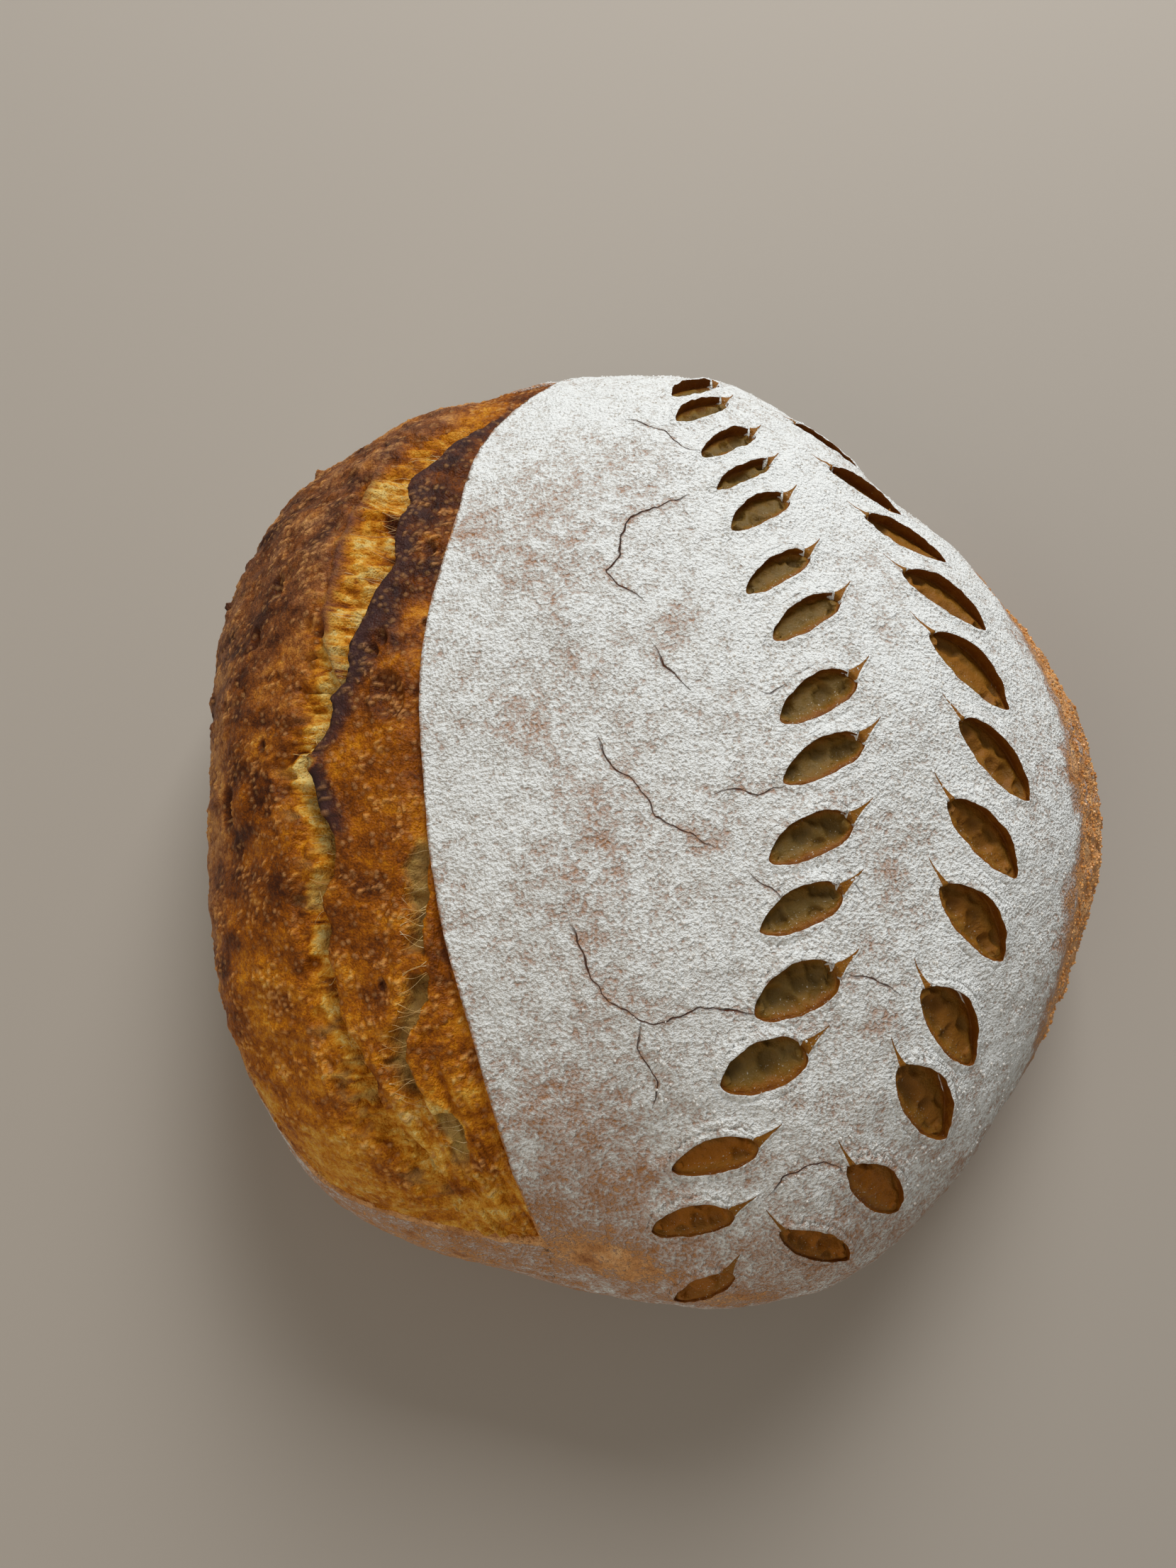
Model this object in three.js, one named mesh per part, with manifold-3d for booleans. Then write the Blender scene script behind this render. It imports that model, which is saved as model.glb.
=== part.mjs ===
// A round sourdough loaf, baked on its flat base, in millimetres with +Z up.
// One long slash opened in the oven along the left side and left a torn, golden burst.
// A wheat ear of small leaf-shaped cuts curves down the right side of the floured crust.
// The origin is on the base, under the middle of the outline. +Y runs along the long slash.
import * as THREE from "three";
import { mergeVertices } from "three/addons/utils/BufferGeometryUtils.js";
import Module from "manifold-3d";

const wasm = await Module();
wasm.setup();

// The whole loaf
const HALF_WIDTH = 113;
const HALF_LENGTH = 127;
const HEIGHT = 100;
const WIDEST_HEIGHT = 27;
const TUCK_UNDER = 0.17; // how far the lower side draws in, as a share of the radius
const LOWER_TURN = THREE.MathUtils.degToRad(82); // the lower side's turn from the widest level to the base
const SHOULDER_POWER = 2.3; // above 2 the dome is fuller than an ellipse
const CROWN_POWER = 2.05;
const LEAN = 0.038; // the dome's drift along +X for each millimetre of height
// The outline isn't a true oval. Each wave is [count round the loaf, cosine share, sine share].
const OUTLINE_WAVES = [[2, 0.026, -0.024], [3, 0.02, -0.005], [4, -0.003, 0.006], [5, 0.026, 0.014]];
const UNEVENNESS = 0.45;
const RIM = { swell: 2.8, distance: 148, width: 13 }; // the rough brown rim low on the right

// The burst. Lengths are measured on the crust unrolled flat about the top of the dome.
const BURST_SWELL = 1.6;
const BURST_SHOULDER = 24; // the swell rises over this width
const SKIN = { depth: 1.4, left: 6, right: 0.4, low: -113, high: 120 }; // the step down from the floured skin
const MAIN_SPLIT = { depth: 6.5, right: 2.6, low: -100, high: 98 }; // its torn left slope varies in width
const SIDE_SPLIT = { depth: 2.6, left: 3.6, right: 2.2, low: -86, high: -14 };
const CURL = { radius: 2.6, flatness: 0.7, inset: 1.2, low: -16, high: 34 }; // curls up over the main split

// The wheat ear. Each cut is [x, y, width] of its middle on the unrolled crust.
const LEFT_CUTS = [
  [15, 105, 7], [15, 92, 6.6], [21, 80, 6], [24, 70, 4.2], [27, 59, 6.8],
  [30, 43, 6.4], [36, 32, 6.8], [36, 13, 8.2], [36, 0, 7.5], [33, -16, 8.5],
  [31, -30, 8.2], [30, -46, 10.3], [23, -61, 10.5], [13, -81, 8.2], [9, -98, 9],
];
const RIGHT_CUTS = [
  [58, 99, 3.5], [64, 78, 7], [71, 61, 8.5], [76, 42, 10], [77, 23, 11], [80, 3, 9.6],
  [76, -14, 9], [75, -32, 10.4], [70, -54, 12], [64, -70, 12], [54, -89, 10], [41, -103, 9.2],
];
const LOWEST_CUT = [15, -121, 11];
const LOWEST_LEAN = 57;
const LEFT_LENGTH = 21;
const RIGHT_LENGTH = 25;
const LEAF_DEPTH = 5.2;
const LEAF_TAIL = 1.25; // the whole cut with its thin tail, as a share of the leaf's length
const UNDERCUT = 0.16; // how far the cut leans under its upper edge, for each millimetre of depth

// Fineness of the mesh
const CROWN_STEP = 5.7;
const SIDE_STEP = 9.5;
const BURST_CROWDING = 0.28; // packs the points closer on the burst's side
const SPLIT_STEP = 7;
const CURL_SECTIONS = 10;
const CURL_SIDES = 6;
const LEAF_SECTIONS = 8;
const CLEARANCE = 2.5; // how far a cut reaches above the crust
const FADE = 0.25; // a cut's floor ends this far above the crust, so that it fades out
const LEAST_SLOPE_DEPTH = 0.8; // a shallower split keeps the wall slopes of one this deep

const clamp = (value, low, high) => Math.min(high, Math.max(low, value));

// Rises smoothly from 0 at low to 1 at high.
function rise(value, low, high) {
  const t = clamp((value - low) / (high - low), 0, 1);
  return t * t * (3 - 2 * t);
}

// A smooth curve through [place, value] pairs in rising order, as a function of place.
function smoothThrough(pairs) {
  const last = pairs.length - 1;
  const slope = (a, b) => (pairs[b][1] - pairs[a][1]) / (pairs[b][0] - pairs[a][0]);
  return (place) => {
    const x = clamp(place, pairs[0][0], pairs[last][0]);
    let i = 0;
    while (i < last - 1 && x > pairs[i + 1][0]) i++;
    const [x0, y0] = pairs[i];
    const [x1, y1] = pairs[i + 1];
    const rise0 = slope(Math.max(i - 1, 0), i + 1) * (x1 - x0);
    const rise1 = slope(i, Math.min(i + 2, last)) * (x1 - x0);
    const t = (x - x0) / (x1 - x0);
    const blend = t * t * (3 - 2 * t);
    return y0 + (y1 - y0) * blend + t * (1 - t) * ((1 - t) * rise0 - t * rise1);
  };
}

// Lines of the burst, as [y, x] on the unrolled crust
const skinEdge = smoothThrough([
  [-115, -28], [-90, -34], [-54, -42], [-10, -54], [12, -55], [52, -49], [85, -43], [102, -35], [125, -17],
]);
const mainSplit = smoothThrough([
  [-100, -46], [-81, -54], [-55, -69], [-30, -78], [-17, -75], [3, -81],
  [20, -71], [45, -62], [69, -61], [84, -51], [100, -40],
]);
const sideSplit = smoothThrough([[-86, -46], [-72, -49], [-60, -57], [-50, -55], [-35, -55], [-14, -55]]);
// Shares of the full depth, and the width of the main split's torn slope, as [y, value]
const skinDepth = smoothThrough([[-115, 0], [-90, 1], [95, 1], [122, 0]]);
const mainDepth = smoothThrough([
  [-100, 0], [-80, 0.3], [-55, 0.5], [-20, 0.75], [2, 1], [45, 0.9], [72, 0.7], [98, 0],
]);
const sideDepth = smoothThrough([[-86, 0], [-70, 0.6], [-50, 1], [-24, 0.8], [-14, 0]]);
const tornWidth = smoothThrough([[-100, 5], [-64, 10], [-38, 7], [-8, 11], [22, 13], [56, 15], [98, 9]]);
// How far down the side the burst reaches, as [direction in degrees, distance from the top]
const burstReach = smoothThrough([
  [95, 119], [115, 132], [130, 143], [150, 152], [180, 153], [205, 144], [225, 133], [235, 124], [258, 116],
]);
// Lean of the leaves from the X axis, as [y, degrees]
const leftLean = smoothThrough([[-100, 24], [-30, 21], [13, 28], [50, 34], [105, 42]]);
const rightLean = smoothThrough([[-103, 28], [-85, 40], [-20, 36], [23, 36], [61, 24], [100, 14]]);

// The profile runs from the top of the dome to the base rim.
// Each entry is [distance along the crust, share of the radius, height].
function makeProfile(steps) {
  const places = [];
  for (let i = 0; i <= steps; i++) {
    const angle = (i / steps) * (Math.PI / 2);
    const share = Math.sin(angle) ** (2 / SHOULDER_POWER);
    const above = Math.max(Math.cos(angle), 0) ** (2 / CROWN_POWER);
    places.push([share, WIDEST_HEIGHT + (HEIGHT - WIDEST_HEIGHT) * above]);
  }
  for (let i = 1; i <= steps; i++) {
    const angle = (i / steps) * LOWER_TURN;
    const share = 1 - TUCK_UNDER * (1 - Math.cos(angle));
    places.push([share, WIDEST_HEIGHT * (1 - Math.sin(angle) / Math.sin(LOWER_TURN))]);
  }
  const meanRadius = (HALF_WIDTH + HALF_LENGTH) / 2;
  let along = 0;
  return places.map(([share, height], i) => {
    const [shareBefore, heightBefore] = places[Math.max(i - 1, 0)];
    along += Math.hypot((share - shareBefore) * meanRadius, height - heightBefore);
    return [along, share, height];
  });
}

const PROFILE_STEPS = 200;
const PROFILE = makeProfile(PROFILE_STEPS);
const WIDEST_DISTANCE = PROFILE[PROFILE_STEPS][0];
const RIM_DISTANCE = PROFILE[PROFILE.length - 1][0];

// A point of the smooth loaf, from its distance along the crust from the top, and its direction.
function smoothPoint(distance, angle) {
  const place = clamp(distance, 0, RIM_DISTANCE);
  let low = 0;
  let high = PROFILE.length - 1;
  while (high - low > 1) {
    const middle = (low + high) >> 1;
    if (PROFILE[middle][0] <= place) low = middle;
    else high = middle;
  }
  const t = (place - PROFILE[low][0]) / (PROFILE[high][0] - PROFILE[low][0]);
  const share = THREE.MathUtils.lerp(PROFILE[low][1], PROFILE[high][1], t);
  const height = THREE.MathUtils.lerp(PROFILE[low][2], PROFILE[high][2], t);
  let wave = 0;
  for (const [count, cosine, sine] of OUTLINE_WAVES)
    wave += cosine * Math.cos(count * angle) + sine * Math.sin(count * angle);
  const reach = share * (1 + wave * share);
  const drift = LEAN * (height - WIDEST_HEIGHT);
  const x = HALF_WIDTH * reach * Math.cos(angle) + drift;
  return new THREE.Vector3(x, HALF_LENGTH * reach * Math.sin(angle), height);
}

// The same from x and y on the unrolled crust.
const smoothCrust = (x, y) => smoothPoint(Math.hypot(x, y), Math.atan2(y, x));

// The outward direction there.
function outward(x, y) {
  const step = 0.4;
  const alongX = smoothCrust(x + step, y).sub(smoothCrust(x - step, y));
  const alongY = smoothCrust(x, y + step).sub(smoothCrust(x, y - step));
  return alongX.cross(alongY).normalize();
}

// A point this far above the uneven crust.
const crustPoint = (x, y, height) => smoothCrust(x, y).addScaledVector(outward(x, y), relief(x, y) + height);

// How far the crust stands above the smooth loaf.
function relief(x, y) {
  const distance = Math.hypot(x, y);
  const degrees = (THREE.MathUtils.radToDeg(Math.atan2(y, x)) + 360) % 360;
  const inside = Math.min(skinEdge(y) - x, burstReach(degrees) - distance);
  const waves = Math.sin(x / 9 + 1.3) * Math.sin(y / 11) + Math.sin((x - y) / 17);
  const onRight = rise(x / (distance + 1), 0.6, 0.95);
  const rim = RIM.swell * Math.exp(-(((distance - RIM.distance) / RIM.width) ** 2));
  const height = UNEVENNESS * waves + BURST_SWELL * rise(inside, 0, BURST_SHOULDER) + onRight * rim;
  return height * (1 - rise(distance, WIDEST_DISTANCE, RIM_DISTANCE));
}

// A solid from its points and triangle corners.
function solid(vertices, faces) {
  const vertProperties = new Float32Array(vertices.flatMap((v) => [v.x, v.y, v.z]));
  return new wasm.Manifold(new wasm.Mesh({ numProp: 3, vertProperties, triVerts: new Uint32Array(faces) }));
}

// A solid from equal closed sections, one after the other, with flat ends.
function loft(sections) {
  const around = sections[0].length;
  const faces = [];
  for (let i = 0; i + 1 < sections.length; i++)
    for (let k = 0; k < around; k++) {
      const a = i * around + k;
      const b = i * around + ((k + 1) % around);
      faces.push(a, a + around, b, b, a + around, b + around);
    }
  const last = (sections.length - 1) * around;
  for (let k = 1; k + 1 < around; k++) faces.push(0, k, k + 1, last, last + k + 1, last + k);
  return solid(sections.flat(), faces);
}

// Fills the band between two rings of points, stepping along whichever ring is behind.
function joinRings(faces, inner, outer) {
  let i = 0;
  let j = 0;
  while (i < inner.count || j < outer.count) {
    const a = inner.first + (i % inner.count);
    const b = outer.first + (j % outer.count);
    if (i >= inner.count || (j < outer.count && (j + 0.5) / outer.count <= (i + 0.5) / inner.count))
      faces.push(a, b, outer.first + (++j % outer.count));
    else faces.push(a, b, inner.first + (++i % inner.count));
  }
}

// The uncut loaf: rings of points from the top to the base rim, closed by the flat base.
function uncutLoaf() {
  const vertices = [crustPoint(0, 0, 0)];
  const faces = [];
  let inner = { first: 0, count: 1 };
  let distance = CROWN_STEP;
  while (inner.distance !== RIM_DISTANCE) {
    const step = distance < WIDEST_DISTANCE ? CROWN_STEP : SIDE_STEP;
    const radius = smoothPoint(distance, 0).x;
    const count = Math.max(6, Math.round((2 * Math.PI * radius) / step));
    const ring = { first: vertices.length, count, distance };
    for (let i = 0; i < count; i++) {
      const turn = (2 * Math.PI * i) / count;
      const angle = turn + BURST_CROWDING * Math.sin(turn);
      vertices.push(
        distance < RIM_DISTANCE
          ? crustPoint(distance * Math.cos(angle), distance * Math.sin(angle), 0)
          : smoothPoint(distance, angle),
      );
    }
    joinRings(faces, inner, ring);
    inner = ring;
    distance = distance + step * 1.5 < RIM_DISTANCE ? distance + step : RIM_DISTANCE;
  }
  const baseCentre = vertices.length;
  vertices.push(new THREE.Vector3(0, 0, 0));
  for (let i = 0; i < inner.count; i++)
    faces.push(baseCentre, inner.first + ((i + 1) % inner.count), inner.first + i);
  return solid(vertices, faces);
}

// What a split takes out: a V with a gentle left slope and a steeper right wall, swept along its line.
function splitCut(line, { depth: fullDepth, right, low, high }, shareAt, leftAt) {
  const sections = [];
  const count = Math.ceil((high - low) / SPLIT_STEP);
  for (let i = 0; i <= count; i++) {
    const y = high - ((high - low) * i) / count;
    const x = line(y);
    const depth = fullDepth * shareAt(y) - FADE;
    const left = leftAt(y);
    const slopeDepth = Math.max(depth, LEAST_SLOPE_DEPTH);
    sections.push([
      crustPoint(x, y, -depth),
      crustPoint(x - left / 2, y, -0.6 * depth),
      crustPoint(x - left * (1 + (0.8 * CLEARANCE) / slopeDepth), y, CLEARANCE),
      crustPoint(x + right * (1 + CLEARANCE / slopeDepth), y, CLEARANCE),
    ]);
  }
  return loft(sections);
}

// The thin edge that curls up over the main split.
function curledEdge() {
  const sections = [];
  for (let i = 0; i < CURL_SECTIONS; i++) {
    const y = CURL.high - ((CURL.high - CURL.low) * i) / (CURL_SECTIONS - 1);
    const radius = CURL.radius * Math.sin((Math.PI * (i + 0.5)) / CURL_SECTIONS) ** 0.7;
    const section = [];
    for (let k = 0; k < CURL_SIDES; k++) {
      const turn = (-2 * Math.PI * k) / CURL_SIDES;
      const x = mainSplit(y) + CURL.inset + radius * Math.cos(turn);
      section.push(crustPoint(x, y, CURL.flatness * radius * Math.sin(turn)));
    }
    sections.push(section);
  }
  return loft(sections);
}

// Width of a leaf cut as a share of its widest, from the outer tip (0) to the end of its tail (1).
function leafShare(t) {
  const body = Math.sin(Math.PI * clamp(t * LEAF_TAIL, 0, 1)) ** 0.75;
  const tail = 0.13 * rise(t, 0.6, 0.8) * (1 - rise(t, 0.86, 1));
  return Math.max(body, tail, 0.02);
}

// What one leaf of the wheat ear takes out. It leans up and out to the left (-1) or the right (1).
function leafCut([x, y, width], side, length, lean) {
  const turn = THREE.MathUtils.degToRad(side < 0 ? lean : 180 - lean);
  const sections = [];
  for (let i = 0; i <= LEAF_SECTIONS; i++) {
    const share = leafShare(i / LEAF_SECTIONS);
    const along = length * ((LEAF_TAIL * i) / LEAF_SECTIONS - 0.5);
    const half = (share * width) / 2;
    const depth = share * LEAF_DEPTH - FADE;
    const rightHalf = [[half, CLEARANCE], [half, -depth / 4], [half * 0.6, -depth]];
    const leftHalf = rightHalf.map(([across, height]) => [-across, height]).reverse();
    sections.push(
      [...rightHalf, ...leftHalf].map(([across, height]) => {
        const shifted = across - side * UNDERCUT * Math.max(0, -height);
        const atX = x + along * Math.cos(turn) - shifted * Math.sin(turn);
        const atY = y + along * Math.sin(turn) + shifted * Math.cos(turn);
        return crustPoint(atX, atY, height);
      }),
    );
  }
  return loft(sections);
}

// Turns a manifold solid into a mesh geometry.
function geometryOf(made) {
  const { vertProperties, triVerts } = made.getMesh();
  const geometry = new THREE.BufferGeometry();
  geometry.setAttribute("position", new THREE.BufferAttribute(vertProperties, 3));
  geometry.setIndex(new THREE.BufferAttribute(triVerts, 1));
  return mergeVertices(geometry, 1e-3);
}

const cuts = [
  splitCut(skinEdge, SKIN, skinDepth, () => SKIN.left),
  splitCut(mainSplit, MAIN_SPLIT, mainDepth, tornWidth),
  splitCut(sideSplit, SIDE_SPLIT, sideDepth, () => SIDE_SPLIT.left),
  ...LEFT_CUTS.map((cut) => leafCut(cut, -1, LEFT_LENGTH, leftLean(cut[1]))),
  ...RIGHT_CUTS.map((cut) => leafCut(cut, 1, RIGHT_LENGTH, rightLean(cut[1]))),
  leafCut(LOWEST_CUT, -1, LEFT_LENGTH, LOWEST_LEAN),
];
const cutLoaf = cuts.reduce((body, cut) => body.subtract(cut), uncutLoaf()).add(curledEdge());
// Loose scraps are dropped and sealed hollows are filled.
const [whole] = cutLoaf.decompose().sort((a, b) => b.volume() - a.volume());

const geometry = geometryOf(whole);
geometry.computeBoundingBox();
const middle = geometry.boundingBox.getCenter(new THREE.Vector3());
geometry.translate(-middle.x, -middle.y, 0);

const crust = new THREE.MeshStandardMaterial({ color: "#c9bfb2", roughness: 0.95, metalness: 0 });
const loaf = new THREE.Mesh(geometry, crust);
loaf.name = "loaf";

const part = new THREE.Group();
part.add(loaf);

export default part;
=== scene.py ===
"""A round sourdough loaf: floured crown, a curved wheat ear of leaf cuts, and a long torn burst.

Places on the crust are given on the crust unrolled flat about the top of the dome: x to the right and y along
the slash, in millimetres. Meshes are in metres.
"""

import itertools
import logging
import math
from collections.abc import Callable
from dataclasses import dataclass
from enum import Enum
from functools import cached_property
from typing import ClassVar

import bpy
import numpy as np
from bpy.types import Material, Node, NodeSocket, NodeTree, Object
from mathutils import Matrix, Vector


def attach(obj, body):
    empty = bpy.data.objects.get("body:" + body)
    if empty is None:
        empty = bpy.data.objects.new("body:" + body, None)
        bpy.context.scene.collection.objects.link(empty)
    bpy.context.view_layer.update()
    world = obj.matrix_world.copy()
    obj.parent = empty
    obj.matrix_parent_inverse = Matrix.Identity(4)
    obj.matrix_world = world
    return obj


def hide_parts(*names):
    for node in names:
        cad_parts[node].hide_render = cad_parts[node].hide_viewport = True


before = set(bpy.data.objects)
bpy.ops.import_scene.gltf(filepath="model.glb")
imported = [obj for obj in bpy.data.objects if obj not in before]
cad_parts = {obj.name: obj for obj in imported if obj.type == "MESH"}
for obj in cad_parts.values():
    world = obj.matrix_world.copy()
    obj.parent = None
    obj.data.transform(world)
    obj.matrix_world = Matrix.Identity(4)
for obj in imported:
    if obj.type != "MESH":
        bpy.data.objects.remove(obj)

LOG = logging.getLogger("loaf")
MM = 0.001
CENTRE = np.array([5.865, 1.581, 0.0])
NODE = "loaf"
BODY = "root"
PER_SQUARE_METRE = 1e4
Array = np.ndarray
Pair = tuple[Array, Array]
Point = tuple[float, float]
Points = tuple[Point, ...]
Triple = tuple[float, float, float]
Stops = tuple[tuple[float, str], ...]
BLEND = {"output": 2, "data_type": "RGBA"}


def rise(value: Array, low: float, high: float) -> Array:
    """Rises smoothly from 0 at low to 1 at high."""
    t = np.clip((value - low) / (high - low), 0.0, 1.0)
    return t * t * (3.0 - 2.0 * t)


def hump(value: Array, middle: float, width: float) -> Array:
    """A round hump of height 1 about middle."""
    return np.exp(-(((value - middle) / width) ** 2))


def spot(x: Array, y: Array, middle: Point, radii: Point) -> Array:
    """Distance from the middle of an oval, as a share of its radii."""
    return np.hypot((x - middle[0]) / radii[0], (y - middle[1]) / radii[1])


class Through:
    """A smooth curve through (place, value) pairs in rising order."""

    def __init__(self, *pairs: Point) -> None:
        """Keeps the pairs and the slope at each."""
        self.place, self.value = np.array(pairs, float).T
        self.slope = np.gradient(self.value, self.place)

    def __call__(self, place: Array) -> Array:
        """The curve's value at each place, held level past its ends.

        Args:
            place: Places along the curve, in rising order or not.

        Returns:
            One value a place.
        """
        inside = np.clip(place, self.place[0], self.place[-1])
        i = np.clip(np.searchsorted(self.place, inside) - 1, 0, len(self.place) - 2)
        width = self.place[i + 1] - self.place[i]
        t = (inside - self.place[i]) / width
        blend = t * t * (3.0 - 2.0 * t)
        bow = (1.0 - t) * self.slope[i] - t * self.slope[i + 1]
        return self.value[i] + (self.value[i + 1] - self.value[i]) * blend + t * (1.0 - t) * width * bow


def scattered(cells: Array, seed: int) -> Array:
    """Evenly scattered numbers.

    Args:
        cells: Whole-numbered cells, one a row.
        seed: Picks another set of numbers.

    Returns:
        A number from 0 to 1 for each cell, the same each run.
    """
    mixed = np.full(cells.shape[:-1], (seed * 747796405 + 2891336453) & 0xFFFFFFFF, np.uint32)
    for axis in range(cells.shape[-1]):
        mixed = (mixed ^ cells[..., axis].astype(np.int64).astype(np.uint32)) * np.uint32(2246822519)
        mixed ^= mixed >> np.uint32(13)
        mixed = mixed * np.uint32(3266489917)
        mixed ^= mixed >> np.uint32(16)
    return mixed / 4294967296.0


def noise(places: Array, size: float, seed: int, layers: int = 1) -> Array:
    """Smooth gradient noise of about -1 to 1.

    Args:
        places: Points, one a row, with 2 or 3 coordinates in millimetres.
        size: Size of the lumps in millimetres.
        seed: Picks another pattern.
        layers: How many times finer lumps, half as wide and half as high, are added.

    Returns:
        One value a point.
    """
    total = np.zeros(len(places))
    for layer in range(layers):
        scaled = places / (size * 0.5**layer)
        low = np.floor(scaled)
        part = scaled - low
        fade = part**3 * (part * (part * 6.0 - 15.0) + 10.0)
        for corner in itertools.product((0.0, 1.0), repeat=places.shape[1]):
            cell = low + corner
            pulls = [
                scattered(cell, seed + 31 * axis + 7 * layer) * 2.0 - 1.0 for axis in range(places.shape[1])
            ]
            weight = np.prod(np.where(corner, fade, 1.0 - fade), axis=-1)
            total += 1.7 * 0.5**layer * weight * np.sum(np.stack(pulls, -1) * (part - corner), axis=-1)
    return total


def bubbles(places: Array, size: float, seed: int) -> Pair:
    """Scattered round cells.

    Args:
        places: Points, one a row, with 2 coordinates in millimetres.
        size: Mean distance between the cells' middles.
        seed: Picks another pattern.

    Returns:
        The distance to the nearest cell's middle, as a share of size, and that cell's own number from 0 to 1.
    """
    scaled = places / size
    low = np.floor(scaled)
    nearest = np.full(len(places), 9.0)
    owner = np.zeros(len(places))
    for offset in itertools.product((-1.0, 0.0, 1.0), repeat=2):
        cell = low + offset
        middle = cell + 0.12 + 0.76 * np.stack([scattered(cell, seed), scattered(cell, seed + 1)], -1)
        away = np.linalg.norm(scaled - middle, axis=-1)
        closer = away < nearest
        nearest = np.where(closer, away, nearest)
        owner = np.where(closer, scattered(cell, seed + 2), owner)
    return nearest, owner


@dataclass(frozen=True)
class Dome:
    """The loaf's smooth form, and the lines of its burst, in millimetres."""

    half_width: float = 113.0
    half_length: float = 127.0
    height: float = 100.0
    widest_height: float = 27.0
    tuck_under: float = 0.17
    lower_turn: float = math.radians(82)
    shoulder_power: float = 2.3
    crown_power: float = 2.05
    lean: float = 0.038
    outline_waves: tuple[tuple[int, float, float], ...] = (
        (2, 0.026, -0.024),
        (3, 0.02, -0.005),
        (4, -0.003, 0.006),
        (5, 0.026, 0.014),
    )
    unevenness: float = 0.45
    rim_swell: float = 2.8
    burst_swell: float = 1.6
    burst_shoulder: float = 24.0
    inset: float = 0.78
    profile_steps: int = 400
    rim_ring: float = 148.0
    rim_ring_width: float = 13.0
    skin_edge: Through = Through(
        (-115, -28), (-90, -34), (-54, -42), (-10, -54), (12, -55), (52, -49), (85, -43), (102, -35),
        (125, -17),
    )
    burst_reach: Through = Through(
        (95, 119), (115, 132), (130, 143), (150, 152), (180, 153), (205, 144), (225, 133), (235, 124),
        (258, 116),
    )

    @cached_property
    def profile(self) -> Array:
        """Rows of distance along the crust from the top, share of the radius, and height.

        Returns:
            One row a step, from the top down to the base's rim.
        """
        turn = np.linspace(0.0, math.pi / 2, self.profile_steps + 1)
        above = np.maximum(np.cos(turn), 0.0) ** (2 / self.crown_power)
        upper = np.stack(
            [
                np.sin(turn) ** (2 / self.shoulder_power),
                self.widest_height + (self.height - self.widest_height) * above,
            ],
            1,
        )
        turn = np.linspace(0.0, self.lower_turn, self.profile_steps + 1)[1:]
        lower = np.stack(
            [
                1 - self.tuck_under * (1 - np.cos(turn)),
                self.widest_height * (1 - np.sin(turn) / np.sin(self.lower_turn)),
            ],
            1,
        )
        both = np.concatenate([upper, lower])
        mean_radius = (self.half_width + self.half_length) / 2
        step = np.hypot(np.diff(both[:, 0]) * mean_radius, np.diff(both[:, 1]))
        return np.column_stack([np.concatenate([[0.0], np.cumsum(step)]), both])

    @cached_property
    def widest_distance(self) -> float:
        """Distance along the crust from the top to the widest level."""
        return float(self.profile[self.profile_steps, 0])

    @cached_property
    def rim_distance(self) -> float:
        """Distance along the crust from the top to the rim of the base."""
        return float(self.profile[-1, 0])

    def smooth(self, x: Array, y: Array) -> Array:
        """Finds points of the smooth loaf.

        Args:
            x: Places on the crust.
            y: The same places.

        Returns:
            Points in millimetres, one a row.
        """
        distance, angle = np.hypot(x, y), np.arctan2(y, x)
        share = np.interp(distance, self.profile[:, 0], self.profile[:, 1])
        height = np.interp(distance, self.profile[:, 0], self.profile[:, 2])
        wave = sum(c * np.cos(n * angle) + s * np.sin(n * angle) for n, c, s in self.outline_waves)
        reach = share * (1 + wave * share)
        drift = self.lean * (height - self.widest_height)
        x = self.half_width * reach * np.cos(angle) + drift
        return np.stack([x, self.half_length * reach * np.sin(angle), height], 1)

    def outward(self, x: Array, y: Array) -> Array:
        """Finds the outward direction.

        Args:
            x: Places on the crust.
            y: The same places.

        Returns:
            A direction of length 1 for each place.
        """
        step = 0.4
        along_x = self.smooth(x + step, y) - self.smooth(x - step, y)
        along_y = self.smooth(x, y + step) - self.smooth(x, y - step)
        normal = np.cross(along_x, along_y)
        return normal / np.linalg.norm(normal, axis=1, keepdims=True)

    def past_skin(self, x: Array, y: Array) -> Array:
        """How far a place lies to the left of the floured skin's edge."""
        return self.skin_edge(y) - x

    def within_reach(self, x: Array, y: Array) -> Array:
        """How far a place lies above the burst's lower border."""
        return self.burst_reach(np.degrees(np.arctan2(y, x)) % 360) - np.hypot(x, y)

    def inside_burst(self, x: Array, y: Array) -> Array:
        """How far inside the burst a place is, and negative outside it."""
        return np.minimum(self.past_skin(x, y), self.within_reach(x, y))

    def relief(self, x: Array, y: Array) -> Array:
        """How far the broad relief of the crust stands above the smooth loaf.

        Args:
            x: Places on the crust.
            y: The same places.

        Returns:
            Millimetres, one value a place.
        """
        distance = np.hypot(x, y)
        waves = np.sin(x / 9 + 1.3) * np.sin(y / 11) + np.sin((x - y) / 17)
        rim = hump(distance, self.rim_ring, self.rim_ring_width) * rise(x / (distance + 1), 0.6, 0.95)
        swell = self.burst_swell * rise(self.inside_burst(x, y), 0.0, self.burst_shoulder)
        fade = 1 - rise(distance, self.widest_distance, self.rim_distance)
        return (self.unevenness * waves + swell + self.rim_swell * rim) * fade

    def crust(self, x: Array, y: Array, height: Array) -> Array:
        """Points this far above the uneven crust."""
        return self.smooth(x, y) + self.outward(x, y) * (self.relief(x, y) + height - self.inset)[:, None]


class Side(Enum):
    """The two sides of the wheat ear."""

    LEFT = -1
    RIGHT = 1


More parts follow.
